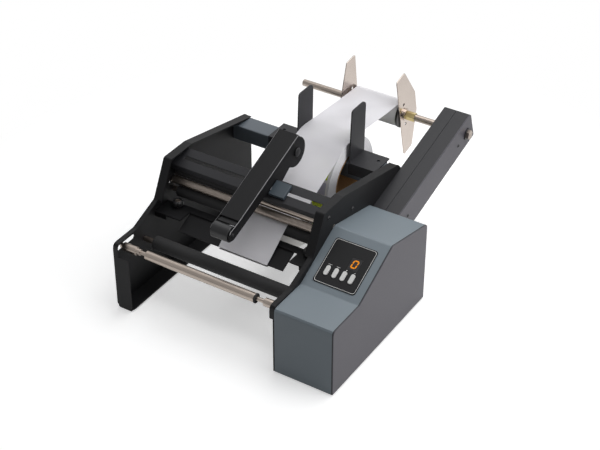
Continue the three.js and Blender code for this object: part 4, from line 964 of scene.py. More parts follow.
class APPLICATOR_OT_beam_and_feet(PieceOperator, bpy.types.Operator):
    """Adds the cross beam that the label roll hangs on, and the rubber feet"""

    bl_idname = "applicator.beam_and_feet"
    bl_label = "Beam and Feet"

    def execute(self, context):
        dress("beam_tube", "cross_beam", "beam powder coat")
        for place in ("front_left", "rear_left", "front_right", "rear_right"):
            dress(f"rubber_pad_{place}", f"foot_{place}", "nitrile rubber", 0.6 * MM, 3)
        return {"FINISHED"}


class APPLICATOR_OT_front_roller(PieceOperator, bpy.types.Operator):
    """Adds the front roller, its sliding shaft and the rubber ring at its end"""

    bl_idname = "applicator.front_roller"
    bl_label = "Front Roller"

    def execute(self, context):
        node = "front_roller_shaft"
        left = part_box("left_side_plate")[0].x
        steps = [(left + along * MM, radius * MM) for along, radius in SHAFT_STEPS]
        shaft = rod(steps, ease=0.35 * MM, sides=64)
        add_piece("sliding_shaft", shaft, "turned steel", node, True, matrix=on_axis(node))
        node = "front_roller"
        low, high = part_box(node)
        radius, bore, ring, proud = [FRONT_TUBE[key] * MM for key in ("radius", "bore", "ring", "proud")]
        barrel = tube(low.x, high.x - ring, radius, bore, ease=0.4 * MM, sides=80)
        add_piece("front_roller_tube", barrel, "turned steel", node, True, matrix=on_axis(node))
        washer = tube(high.x - ring, high.x, radius + proud, bore, ease=0.5 * MM, sides=64)
        add_piece("front_roller_ring", washer, "nitrile rubber", node, matrix=on_axis(node))
        return {"FINISHED"}


class APPLICATOR_OT_rubber_rollers(PieceOperator, bpy.types.Operator):
    """Adds the rear and drive rollers: rubber sleeves on steel shafts with a belt pulley each"""

    bl_idname = "applicator.rubber_rollers"
    bl_label = "Rubber Rollers"

    def execute(self, context):
        for place, radius in RUBBER_ROLLERS.items():
            node = f"{place}_roller"
            low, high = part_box(node)
            sleeve = tube(low.x, high.x, radius * MM, SLEEVE_BORE * MM, ease=0.7 * MM, sides=80)
            add_piece(f"{place}_sleeve", sleeve, "nitrile rubber", node, True, matrix=on_axis(node))
            dress(f"{place}_shaft", f"{place}_roller_shaft", "turned steel", 0.2 * MM)
        return {"FINISHED"}


class APPLICATOR_OT_steel_rollers(PieceOperator, bpy.types.Operator):
    """Adds the knurled roller, the smooth idler behind it and the liner's idler"""

    bl_idname = "applicator.steel_rollers"
    bl_label = "Steel Rollers"

    def execute(self, context):
        sizes = context.scene.applicator_sizes
        journal, inset = JOURNAL["radius"] * MM, JOURNAL["length"] * MM
        for node, radius in STEEL_ROLLERS.items():
            low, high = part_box(node)
            left, right = low.x + inset, high.x - inset
            ends = ((low.x, left + inset), (right - inset, high.x))
            stubs = [rod([(start, journal), (end, journal)], ease=0.3 * MM, sides=32) for start, end in ends]
            if node == "knurled_roller":
                finish = "knurled steel"
                grooves = (sizes.knurl_pitch, sizes.knurl_depth)
                barrel = knurled(left, right, radius * MM, *grooves, inset=0.8 * MM)
            else:
                finish = "turned steel"
                barrel = rod([(left, radius * MM), (right, radius * MM)], ease=0.5 * MM, sides=80)
            add_piece(f"{node}_bar", joined(barrel, *stubs), finish, node, True, matrix=on_axis(node))
        node = "idler_roller"
        left, past, *radii = [IDLER_SLEEVE[key] * MM for key in ("left", "past_middle", "radius", "bore")]
        sleeve = tube(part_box(node)[0].x + left, middle(node).x + past, *radii, ease=0.15 * MM, sides=80)
        add_piece("idler_sleeve", sleeve, "nitrile rubber", node, matrix=on_axis(node))
        return {"FINISHED"}


def label_patch(radius, centre_x, half_width, angle, half_length, corner, thickness):
    """A thin rounded rectangle bent round the X axis, at a place given by its middle angle."""
    rows = 14
    mesh = bmesh.new()
    rings = []
    for i in range(rows + 1):
        along = -half_length * math.cos(math.pi * i / rows)
        beyond = max(0.0, abs(along) - (half_length - corner))
        reach = half_width - corner + math.sqrt(max(0.0, corner ** 2 - beyond ** 2))
        turn = angle + along / radius
        ring = []
        for side, level in ((-1, 0), (1, 0), (1, thickness), (-1, thickness)):
            out = radius + level
            ring.append(mesh.verts.new((centre_x + side * reach, out * math.cos(turn), out * math.sin(turn))))
        rings.append(ring)
    return capped(mesh, rings)


def wound_roll(node, bore, layers, sides):
    """A wound roll, whose layers stand a hair in front of or behind each other at its sides."""
    low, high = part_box(node)
    radius = radius_of(node)
    faces = []
    for edge, away in ((low.x, -1), (high.x, 1)):
        points = []
        for i in range(layers + 1):
            wander = sum(reach * math.sin(i * turn) for reach, turn in LAYER_WANDER) - LAYER_SINK
            points.append((edge + away * min(0.0, wander * MM), bore + (radius - bore) * i / layers))
        faces.append(points)
    left, right = faces
    return turned([*left, *reversed(right)], sides, True)


class APPLICATOR_OT_label_roll(PieceOperator, bpy.types.Operator):
    """Adds the label roll: a board core, the wound stock and printed labels round the outside"""

    bl_idname = "applicator.label_roll"
    bl_label = "Label Roll"

    def execute(self, context):
        sizes = context.scene.applicator_sizes
        place = on_axis("supply_roll")
        core_radius = radius_of("supply_core")
        low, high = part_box("supply_core")
        core = tube(low.x, high.x, core_radius, core_radius - CORE["wall"] * MM, ease=0.3 * MM, sides=160)
        add_piece("roll_core_board", core, "core board", "supply_core", True, matrix=place)
        stock = wound_roll("supply_roll", core_radius + CORE["gap"] * MM, layers=46, sides=160)
        add_piece("roll_stock", stock, "wound paper", "supply_roll", True, matrix=place)
        radius = radius_of("supply_roll")
        low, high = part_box("supply_roll")
        half_width = (high.x - low.x) / 2 - sizes.label_inset
        centre = (low.x + high.x) / 2
        half = sizes.label_length / 2
        count = int(math.tau * radius / (sizes.label_length + LABEL["gap"] * MM))
        sheet, ink = LABEL["thickness"] * MM, LABEL["ink"] * MM
        patches = {"label paper": [], "green print": [], "grey print": []}
        for i in range(count):
            angle = math.tau * (i + LABEL["phase"]) / count
            face = label_patch(radius, centre, half_width, angle, half, LABEL["corner"] * MM, sheet)
            patches["label paper"].append(face)
            for finish, share, length in BLOCKS:
                x = centre + half_width - BLOCK["inset"] * MM
                size = (BLOCK["half_width"] * MM, angle + share * half / radius, half * length)
                patches[finish].append(label_patch(radius + sheet, x, *size, BLOCK["corner"] * MM, ink))
            for share in DOTS["rows"]:
                x = centre + DOTS["across"] * MM
                size = (DOTS["half_width"] * MM, angle + share * half / radius, DOTS["half_length"] * MM)
                patches["green print"].append(label_patch(radius + sheet, x, *size, DOTS["corner"] * MM, ink))
        names = ("roll_labels", "roll_green_print", "roll_grey_print")
        for name, (finish, meshes) in zip(names, patches.items()):
            add_piece(name, joined(*meshes), finish, "supply_roll", matrix=place)
        return {"FINISHED"}


# Webs run from wheel to wheel: (y, z, radius), with a negative radius where the paper goes over the wheel


def tangent_run(start, end):
    """The straight run between two wheels: where it leaves the one and lands on the other."""
    gap = Vector((end[0] - start[0], end[1] - start[1]))
    angle = math.atan2(gap.y, gap.x) - math.asin((end[2] - start[2]) / gap.length)
    normal = (-math.sin(angle), math.cos(angle))
    return [(w[0] - normal[0] * w[2], w[1] - normal[1] * w[2]) for w in (start, end)]


def wheel_arc(wheel, start, end, step):
    """Points round a wheel from where the web lands on it to where it leaves it."""
    first, last = [math.atan2(point[1] - wheel[1], point[0] - wheel[0]) for point in (start, end)]
    turn = math.copysign(1, wheel[2])
    while turn * (last - first) < 0:
        last += turn * math.tau
    count = max(2, math.ceil(abs(last - first) * abs(wheel[2]) / step))
    return arc(wheel[:2], abs(wheel[2]), math.degrees(first), math.degrees(last), count)


def web_path(wheels, step):
    """Points of a taut web with, for each, how free it is to wave: 0 on a wheel, 1 amid a long span."""
    path = []
    arrive = None
    for start, end in zip(wheels, wheels[1:]):
        leave, land = tangent_run(start, end)
        if arrive:
            path += [(point, 0.0) for point in wheel_arc(start, arrive, leave, step)]
        length = math.dist(leave, land)
        count = max(2, math.ceil(length / (step * 2)))
        for i in range(count + 1):
            share = i / count
            point = tuple(a + (b - a) * share for a, b in zip(leave, land))
            path.append((point, math.sin(math.pi * share) * min(1.0, length / (WEB["full_wave"] * MM))))
        arrive = land
    kept = [path[0]]
    for entry in path[1:]:
        if math.dist(entry[0], kept[-1][0]) > TINY * 100:
            kept.append(entry)
    return kept


def web_mesh(path, left, right, thickness, ripple):
    """A strip of paper along a path, waving a little where it is free."""
    columns = 14
    mesh = bmesh.new()
    layers = []
    for side in (-0.5, 0.5):
        rows = []
        for i, ((y, z), free) in enumerate(path):
            ahead = path[min(i + 1, len(path) - 1)][0]
            behind = path[max(i - 1, 0)][0]
            run = Vector((ahead[0] - behind[0], ahead[1] - behind[1])).normalized()
            normal = Vector((-run.y, run.x))
            row = []
            for k in range(columns + 1):
                share = k / columns
                wave = sum(size * math.sin(share * across + i * along + start)
                           for size, across, along, start in WAVES)
                lift = normal * (side * thickness + ripple * free * wave)
                row.append(mesh.verts.new((left + (right - left) * share, y + lift.x, z + lift.y)))
            rows.append(row)
        layers.append(rows)
    low, high = layers
    for i in range(len(path) - 1):
        for k in range(columns):
            mesh.faces.new((low[i][k], low[i + 1][k], low[i + 1][k + 1], low[i][k + 1]))
            mesh.faces.new((high[i][k], high[i][k + 1], high[i + 1][k + 1], high[i + 1][k]))
        for k in (0, columns):
            mesh.faces.new((low[i][k], high[i][k], high[i + 1][k], low[i + 1][k]))
    for i in (0, len(path) - 1):
        for k in range(columns):
            mesh.faces.new((low[i][k], low[i][k + 1], high[i][k + 1], high[i][k]))
    return outward(mesh)


class APPLICATOR_OT_webs(PieceOperator, bpy.types.Operator):
    """Adds the label stock under the machine and the bare liner that returns over the roll"""

    bl_idname = "applicator.webs"
    bl_label = "Webs"

    def execute(self, context):
        ripple = context.scene.applicator_sizes.web_ripple
        gap = (WEB["gap"] + WEB["room"] / 2) * MM
        peel = machine(0, *PEEL["place"])
        bend = PEEL["radius"] * MM + gap

        def wheel(node, way):
            centre = middle(node)
            return (centre.y, centre.z, way * (radius_of(node) + gap))

        liner = [(peel.y, peel.z, -bend), wheel("drive_roller", -1), wheel("liner_idler", 1),
                 wheel("supply_roll", -1), wheel("wound_liner", -1)]
        stock = [(peel.y, peel.z, bend), wheel("supply_roll", 1)]
        webs = (("liner_web", liner, "silicone liner", "liner_return", ripple),
                ("stock_web", stock, "label paper", "label_stock", ripple * WEB["stock_share"]))
        for name, wheels, finish, node, wave in webs:
            low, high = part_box(node)
            path = web_path(wheels, WEB["step"] * MM)
            add_piece(name, web_mesh(path, low.x, high.x, WEB["paper"] * MM, wave), finish, node, True)
        return {"FINISHED"}


def thumb_knob(base, top):
    """A fluted black knob with a steel insert in a shallow well."""
    count = KNOB["lobes"] * KNOB["steps"]
    levels = [(base + up * MM, share) for up, share in KNOB_FOOT]
    levels += [(top - down * MM, share) for down, share in KNOB_HEAD]
    mesh = bmesh.new()
    rings = []
    for height, share in levels:
        ring = []
        for k in range(count):
            angle = math.tau * k / count
            flute = max(0.0, math.cos(angle * KNOB["lobes"])) ** 2 if share > KNOB["plain_below"] else 0.0
            reach = (KNOB["radius"] - KNOB["flute"] * flute) * share * MM
            ring.append(mesh.verts.new((reach * math.cos(angle), reach * math.sin(angle), height)))
        rings.append(ring)
    return capped(mesh, rings)


class APPLICATOR_OT_label_guide(PieceOperator, bpy.types.Operator):
    """Adds the guide plate that the labels peel off over, and the two thumb knobs that clamp it"""

    bl_idname = "applicator.label_guide"
    bl_label = "Label Guide"

    def execute(self, context):
        dress("peel_plate_sheet", "label_guide_plate", "black powder coat", 0.25 * MM)
        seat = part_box("label_guide_plate")[1].z
        foot = seat + KNOB["lift"] * MM
        for side in ("left", "right"):
            node = f"guide_knob_{side}"
            low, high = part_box(node)
            centre = middle(node)
            matrix = Matrix.Translation((centre.x, centre.y, 0))
            add_piece(f"knob_grip_{side}", thumb_knob(foot, high.z), "black nylon", node, True, matrix=matrix)
            nut = prism(polygon(6, KNOB["nut"] * MM), seat + 0.3 * MM, foot)
            steps = [(low.z, KNOB["stud"] * MM), (high.z - 0.2 * MM, KNOB["stud"] * MM)]
            stud = rod(steps, ease=0.3 * MM, sides=24)
            ring = (KNOB["insert"] * MM, KNOB["insert_bore"] * MM)
            insert = tube(high.z - 0.8 * MM, high.z - 0.1 * MM, *ring, ease=0.1 * MM, sides=32)
            steel = joined(nut, moved(stud, X_TO_Z), moved(insert, X_TO_Z))
            add_piece(f"knob_stud_{side}", steel, "turned steel", node, edge=0.15 * MM, matrix=matrix)
        return {"FINISHED"}


class APPLICATOR_OT_sensor(PieceOperator, bpy.types.Operator):
    """Adds the slotted sensor bar and the label sensor clamped on it"""

    bl_idname = "applicator.sensor"
    bl_label = "Label Sensor"

    def execute(self, context):
        dress("sensor_bar_sheet", "sensor_bar", "charcoal powder coat")
        dress("sensor_housing_block", "label_sensor", "sensor housing", 0.7 * MM, 3)
        return {"FINISHED"}


class APPLICATOR_OT_press_arm(PieceOperator, bpy.types.Operator):
    """Adds the press arm with its roller, pin, bracket and torsion spring"""

    bl_idname = "applicator.press_arm"
    bl_label = "Press Arm"

    def execute(self, context):
        dress("press_bracket_sheet", "press_arm_bracket", "black powder coat")
        arm_low, arm_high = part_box("press_arm")

        def is_fold(edge):
            outer = on_face(edge, arm_low.x) or on_face(edge, arm_high.x)
            upper = any(face.normal.z > 0.5 for face in edge.link_faces)
            return outer and upper and edge.calc_length() > SHORTEST_FOLD * MM

        fold = context.scene.applicator_sizes.fold_edge
        # The new fold faces take the pale glossy coat: a painted highlight along the arm's upper fold edges
        channel = round_edges(solid_of("press_arm"), is_fold, fold, finish=1)
        add_piece("press_arm_channel", channel, "black powder coat", "press_arm", True, 0.3 * MM,
                  folds="rubbed powder coat")
        left, right = arm_low.x + ARM_WALL * MM, arm_high.x - ARM_WALL * MM
        self.add_wheel(left, right)
        self.add_pin()
        rear, front = machine(0, LIP["rear"], LIP["height"]), machine(0, LIP["front"], LIP["height"])
        below = front.z - LIP["sheet"] * MM
        lip = plank([(front.y, below), (rear.y, below), (rear.y, rear.z), (front.y, front.z)], left, right)
        add_piece("press_arm_lip", lip, "black powder coat", "press_arm", edge=0.3 * MM)
        self.add_spring()
        return {"FINISHED"}

    def add_wheel(self, left, right):
        """The press roller: a nylon wheel, dished at both sides, on a stub at each end."""
        node = "press_roller"
        low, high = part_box(node)
        axle = WHEEL["axle"] * MM
        steps = [(low.x, axle), (left, axle)]
        for depth, share in WHEEL["side"]:
            steps.append((left + depth * MM, radius_of(node) * share))
        mirrored = [(left + right - x if x > low.x else high.x, r) for x, r in reversed(steps)]
        wheel = rod([*steps, *mirrored], ease=0.5 * MM, sides=96)
        add_piece("press_wheel", wheel, "polished nylon", node, True, matrix=on_axis(node))

    def add_pin(self):
        """The hub that the arm turns on, with a wider head at each end."""
        node = "press_arm_pin"
        low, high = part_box(node)
        head, neck, inner = radius_of(node), PIN["neck"] * MM, PIN["head"] * MM
        steps = [(low.x, head), (low.x + inner, head), (low.x + inner, neck), (high.x - inner, neck),
                 (high.x - inner, head), (high.x, head)]
        add_piece("press_pin", rod(steps, ease=0.5 * MM, sides=64), "black nylon", node, True,
                  matrix=on_axis(node))

    def add_spring(self):
        """One wire round the pin with a straight leg at each end."""
        turns, per_turn, leg_steps = SPRING["turns"], SPRING["steps"], SPRING["leg_steps"]
        pitch, coil, wire, leg = [SPRING[key] * MM for key in ("pitch", "coil", "wire", "leg")]
        lean = math.radians(SPRING["lean"])
        pin = middle("press_arm_pin")
        start = pin.x - pitch * turns / 2

        def coil_point(turn):
            angle = lean + turn * math.tau
            y, z = coil * math.cos(angle), coil * math.sin(angle)
            return Vector((start + pitch * turn, pin.y + y, pin.z + z))

        way = Vector((0, math.sin(lean), -math.cos(lean))) * leg
        points = [coil_point(0) + way * (1 - i / leg_steps) for i in range(leg_steps)]
        points += [coil_point(i / per_turn) for i in range(turns * per_turn + 1)]
        points += [coil_point(turns) - way * (i + 1) / leg_steps for i in range(leg_steps)]
        add_piece("press_spring_wire", tube_along(points, wire), "turned steel", "press_arm_spring", True)


class APPLICATOR_OT_roll_guides(PieceOperator, bpy.types.Operator):
    """Adds the two bent guides that stand beside the label roll"""

    bl_idname = "applicator.roll_guides"
    bl_label = "Roll Guides"

    def execute(self, context):
        edge = context.scene.applicator_sizes.sheet_edge
        for side in ("left", "right"):
            node = f"{side}_roll_guide"
            low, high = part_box(node)
            wedges = [corner_wedge((y, high.z), (way, 1), GUIDE_CORNER * MM)
                      for y, way in ((low.y, -1), (high.y, 1))]
            cutters = [plank(wedge, low.x - MM, high.x + MM) for wedge in wedges]
            add_piece(f"{side}_guide_sheet", solid_of(node), "charcoal powder coat", node, True, edge,
                      cutters=cutters)
        return {"FINISHED"}


class APPLICATOR_OT_control_box(PieceOperator, bpy.types.Operator):
    """Adds the control box: a bent cover, a side panel and the base with the motor's bracket"""

    bl_idname = "applicator.control_box"
    bl_label = "Control Box"

    def execute(self, context):
        dress("cover_sheet", "control_cover", "grey powder coat")
        node = "control_side_panel"
        dress("side_panel_sheet", node, "side powder coat", 0.5 * MM, 3)
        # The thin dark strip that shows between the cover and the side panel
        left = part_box("control_cover")[1].x - SEAM["into_cover"] * MM
        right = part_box(node)[0].x + SEAM["into_panel"] * MM
        dark_seam_strip = thin_copy(node, left, right, SEAM["proud"] * MM)
        add_piece("side_gasket", dark_seam_strip, "nitrile rubber", node)
        dress("base_sheet", "control_base", "side powder coat")
        return {"FINISHED"}


def segment_outline(across, up, length, width, flat):
    """A bar with pointed ends, lying along X if flat and along Y otherwise."""
    half, reach = width / 2, length / 2
    bar = [(-reach, 0), (-reach + half, half), (reach - half, half), (reach, 0), (reach - half, -half),
           (-reach + half, -half)]
    turned_bar = bar if flat else [(-y, x) for x, y in bar]
    return [(across + x, up + y) for x, y in turned_bar]


class APPLICATOR_OT_control_panel(PieceOperator, bpy.types.Operator):
    """Adds the panel film with its printed border, the display with its digit, the buttons and the board"""

    bl_idname = "applicator.control_panel"
    bl_label = "Control Panel"

    def execute(self, context):
        matrix = panel_matrix()
        film = self.plate(rounded_box(FILM["left"], FILM_RIGHT, FILM["start"], FILM_END, FILM["corner"]),
                          PANEL_LIFT, FILM_TOP)
        openings = [self.button_outline(x, BUTTONS["gap"]) for x in BUTTON_PLACES]
        holes = [self.plate(outline, -1, 3) for outline in [*openings, self.pane_outline(0)]]
        add_piece("panel_film_sheet", film, "panel film", "control_overlay", True, 0.12 * MM, matrix=matrix,
                  cutters=holes)
        self.add_print(matrix)
        glass = self.plate(self.pane_outline(PANE["gap"]), FILM_TOP - PANE["thickness"], PANE_TOP)
        add_piece("display_pane", glass, "display window", "display_window", True, 0.1 * MM, matrix=matrix)
        self.add_digit(matrix)
        self.add_buttons(matrix)
        dress("circuit_laminate", "circuit_board", "glass-fibre laminate", 0.2 * MM)
        return {"FINISHED"}

    def plate(self, outline, bottom, top):
        """A flat shape on the panel, given in millimetres."""
        return prism(scaled(outline), bottom * MM, top * MM)

    def button_outline(self, x, gap=0.0, steps=10):
        return pill(x, BUTTONS["along"], BUTTONS["width"] + gap, BUTTONS["length"] + gap, steps)

    def pane_outline(self, gap):
        near = PANE["along"] - PANE["length"] / 2 + gap
        far = PANE["along"] + PANE["length"] / 2 - gap
        return rounded_box(PANE["left"] + gap, PANE["left"] + PANE["width"] - gap, near, far, PANE["corner"])

    def add_print(self, matrix):
        """A pale border line round the film, and a tick over each button."""
        level = FILM_TOP + BORDER["height"]
        mesh = bmesh.new()
        rows = []
        outer, inner = BORDER["inset"], BORDER["inset"] + BORDER["width"]
        for grow, height in ((outer, FILM_TOP), (outer, level), (inner, level), (inner, FILM_TOP)):
            corner = max(BORDER["least_corner"], FILM["corner"] + (1 - grow) * 0.4)
            ring = rounded_box(FILM["left"] + grow, FILM_RIGHT - grow, FILM["start"] + grow, FILM_END - grow,
                               corner)
            rows.append([mesh.verts.new((x, y, height * MM)) for x, y in scaled(ring)])
        skin(mesh, rows, True)
        add_piece("panel_border_line", outward(mesh), "pale ink", "control_overlay", matrix=matrix)
        ticks = []
        above = BUTTONS["along"] + BUTTONS["length"] / 2 + TICK["lift"]
        for x, (half_width, half_height) in zip(BUTTON_PLACES, TICKS):
            marks = [(half_width, TICK["half"])]
            if half_height:
                marks.append((TICK["half"], half_height))
            for wide, tall in marks:
                corners = ((-1, -1), (1, -1), (1, 1), (-1, 1))
                outline = [(x + side * wide, above + way * tall) for side, way in corners]
                ticks.append(self.plate(outline, FILM_TOP, level))
        add_piece("panel_button_ticks", joined(*ticks), "pale ink", "control_overlay", matrix=matrix)

    def add_digit(self, matrix):
        """A seven-segment nought: six segments lit round a dark middle one."""
        half_width, half_height, bar = DIGIT["width"] / 2, DIGIT["height"] / 2, DIGIT["bar"]
        flat, tall = DIGIT["width"] - DIGIT["gap"], half_height - DIGIT["gap"]
        lit = [segment_outline(0, way * half_height, flat, bar, True) for way in (1, -1)]
        for side in (-half_width, half_width):
            lit += [segment_outline(side, way * half_height / 2, tall, bar, False) for way in (-1, 1)]
        groups = (("digit_lit_segments", lit, "lit segment"),
                  ("digit_dark_segment", [segment_outline(0, 0, flat, bar, True)], "dark segment"))
        for name, outlines, finish in groups:
            parts = []
            for outline in outlines:
                points = [(DIGIT["across"] + x + y * DIGIT["slant"], DIGIT["along"] + y) for x, y in outline]
                parts.append(self.plate(points, PANE_TOP, FILM_TOP + DIGIT["rise"]))
            add_piece(name, joined(*parts), finish, "display_window", matrix=matrix)

    def add_buttons(self, matrix):
        """Caps with softened edges on short stems."""
        for i, x in enumerate(BUTTON_PLACES):
            outline = self.button_outline(x, steps=16)
            cap = self.plate(outline, FILM_TOP - CAP["under"], FILM_TOP + CAP["over"])
            steps = [(CAP[end] * MM, CAP["stem"] * MM) for end in ("stem_from", "stem_to")]
            stem = moved(rod(steps, ease=0.2 * MM, sides=24), X_TO_Z)
            stem = moved(stem, Matrix.Translation((x * MM, BUTTONS["along"] * MM, 0)))
            node = f"panel_button_{i + 1}"
            add_piece(f"button_cap_{i + 1}", joined(cap, stem), "button plastic", node, True, 0.7 * MM, 4,
                      matrix=matrix)


class APPLICATOR_OT_drive(PieceOperator, bpy.types.Operator):
    """Adds the motor, its pulley and the two belts in the control box"""

    bl_idname = "applicator.drive"
    bl_label = "Motor and Belts"

    def execute(self, context):
        dress("motor_can", "drive_motor", "plated motor can", 1.2 * MM, 3)
        dress("motor_pulley_wheel", "motor_pulley", "turned steel", 0.2 * MM)
        for belt in ("roller", "takeup"):
            dress(f"{belt}_belt_loop", f"{belt}_belt", "nitrile rubber", 0.25 * MM)
        return {"FINISHED"}


class APPLICATOR_OT_rear_sockets(PieceOperator, bpy.types.Operator):
    """Adds the power inlet with its pins, the rocker switch and the pedal socket"""

    bl_idname = "applicator.rear_sockets"
    bl_label = "Rear Sockets"

    def execute(self, context):
        dress("inlet_housing", "power_inlet", "black nylon", 0.4 * MM)
        dress("switch_frame", "switch_body", "black nylon", 0.4 * MM)
        dress("switch_rocker", "power_switch_rocker", "black nylon", 0.6 * MM, 3)
        dress("pedal_jack", "pedal_socket", "turned steel", 0.3 * MM)
        centre = middle("power_inlet")
        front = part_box("power_inlet")[1].y - PINS["under"] * MM
        wide, tall, corner = [PINS[key] * MM for key in ("half_width", "half_height", "corner")]
        pins = []
        for side in (-1, 0, 1):
            x = centre.x + side * PINS["pitch"] * MM
            z = centre.z + (-1 if side else 1) * PINS["offset"] * MM
            outline = rounded_box(x - wide, x + wide, z - tall, z + tall, corner)
            pins.append(beam(outline, front - PINS["length"] * MM, front))
        add_piece("inlet_pins", joined(*pins), "turned steel", "power_inlet", edge=0.3 * MM)
        return {"FINISHED"}


class APPLICATOR_OT_takeup_arm(PieceOperator, bpy.types.Operator):
    """Adds the two shells of the take-up arm with the screws that close them"""

    bl_idname = "applicator.takeup_arm"
    bl_label = "Take-up Arm"

    def execute(self, context):
        dress("arm_shell_left", "takeup_arm_left", "charcoal powder coat", 0.5 * MM, 3)
        node = "takeup_arm_right"
        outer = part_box(node)[1].x
        seam = outer - SHEEN_SKIN * MM
        shell = one_side(solid_of(node), seam, False)
        add_piece("arm_shell_right", shell, "charcoal powder coat", node, True, 0.3 * MM)
        # The right shell's outer skin takes the paler side paint: painted sheen on the face that looks right
        panel = one_side(solid_of(node), seam, True)
        add_piece("arm_side_panel", panel, "side powder coat", node, True, 0.9 * MM, 4)
        add_screws("arm_shell_screws", ARM_SCREWS, outer, FACE_RIGHT, node)
        return {"FINISHED"}


class APPLICATOR_OT_mandrel(PieceOperator, bpy.types.Operator):
    """Adds the mandrel with its nut, the pulley and hub on it, and the liner wound on the hub"""

    bl_idname = "applicator.mandrel"
    bl_label = "Mandrel"

    def execute(self, context):
        node = "mandrel_rod"
        low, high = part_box(node)
        arm_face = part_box("takeup_arm_right")[1].x
        radius, end = MANDREL["rod"] * MM, MANDREL["end"] * MM
        seat = arm_face + MANDREL["stack"] * MM
        shoulder = seat + MANDREL["shoulder"] * MM
        steps = [(low.x, radius), (shoulder, radius), (shoulder, end), (high.x, end)]
        shaft = rod(steps, ease=0.6 * MM, sides=64)
        hexagon = polygon(6, MANDREL["nut"] * MM, MANDREL["nut_turn"])
        nut = plank(hexagon, seat, seat + MANDREL["nut_height"] * MM)
        add_piece("mandrel_shaft", joined(shaft, nut), "turned steel", node, True, 0.25 * MM,
                  matrix=on_axis(node))
        washer = tube(arm_face + MANDREL["seat"] * MM, seat, MANDREL["washer"] * MM, radius, ease=0.25 * MM,
                      sides=64)
        add_piece("mandrel_washer", washer, "black nylon", node, matrix=on_axis(node))
        dress("takeup_pulley_wheel", "takeup_pulley", "turned steel", 0.2 * MM)
        dress("takeup_hub_sleeve", "takeup_hub", "black nylon", 0.5 * MM, 3)
        node = "wound_liner"
        winding = wound_roll(node, WINDING["bore"] * MM, WINDING["layers"], sides=96)
        add_piece("liner_winding", winding, "wound paper", node, True, matrix=on_axis(node))
        return {"FINISHED"}


class APPLICATOR_OT_flanges(PieceOperator, bpy.types.Operator):
    """Adds the two steel flanges beside the winding and the collar that clamps the right one"""

    bl_idname = "applicator.flanges"
    bl_label = "Flanges"

    def execute(self, context):
        for side in ("left", "right"):
            dress(f"{side}_flange_sheet", f"{side}_flange", "rolled steel", 0.3 * MM)
        node = "flange_collar"
        low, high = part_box(node)
        hexagon = prism(polygon(6, radius_of(node) * COLLAR["hexagon"], COLLAR["turn"]), low.x, high.x)
        hole = prism(polygon(48, COLLAR["bore"] * MM), low.x - MM, high.x + MM)
        add_piece("collar_hexagon", moved(hexagon, Z_TO_X), "yellow zinc", node, True, 0.35 * MM, 3,
                  on_axis(node), [moved(hole, Z_TO_X)])
        return {"FINISHED"}


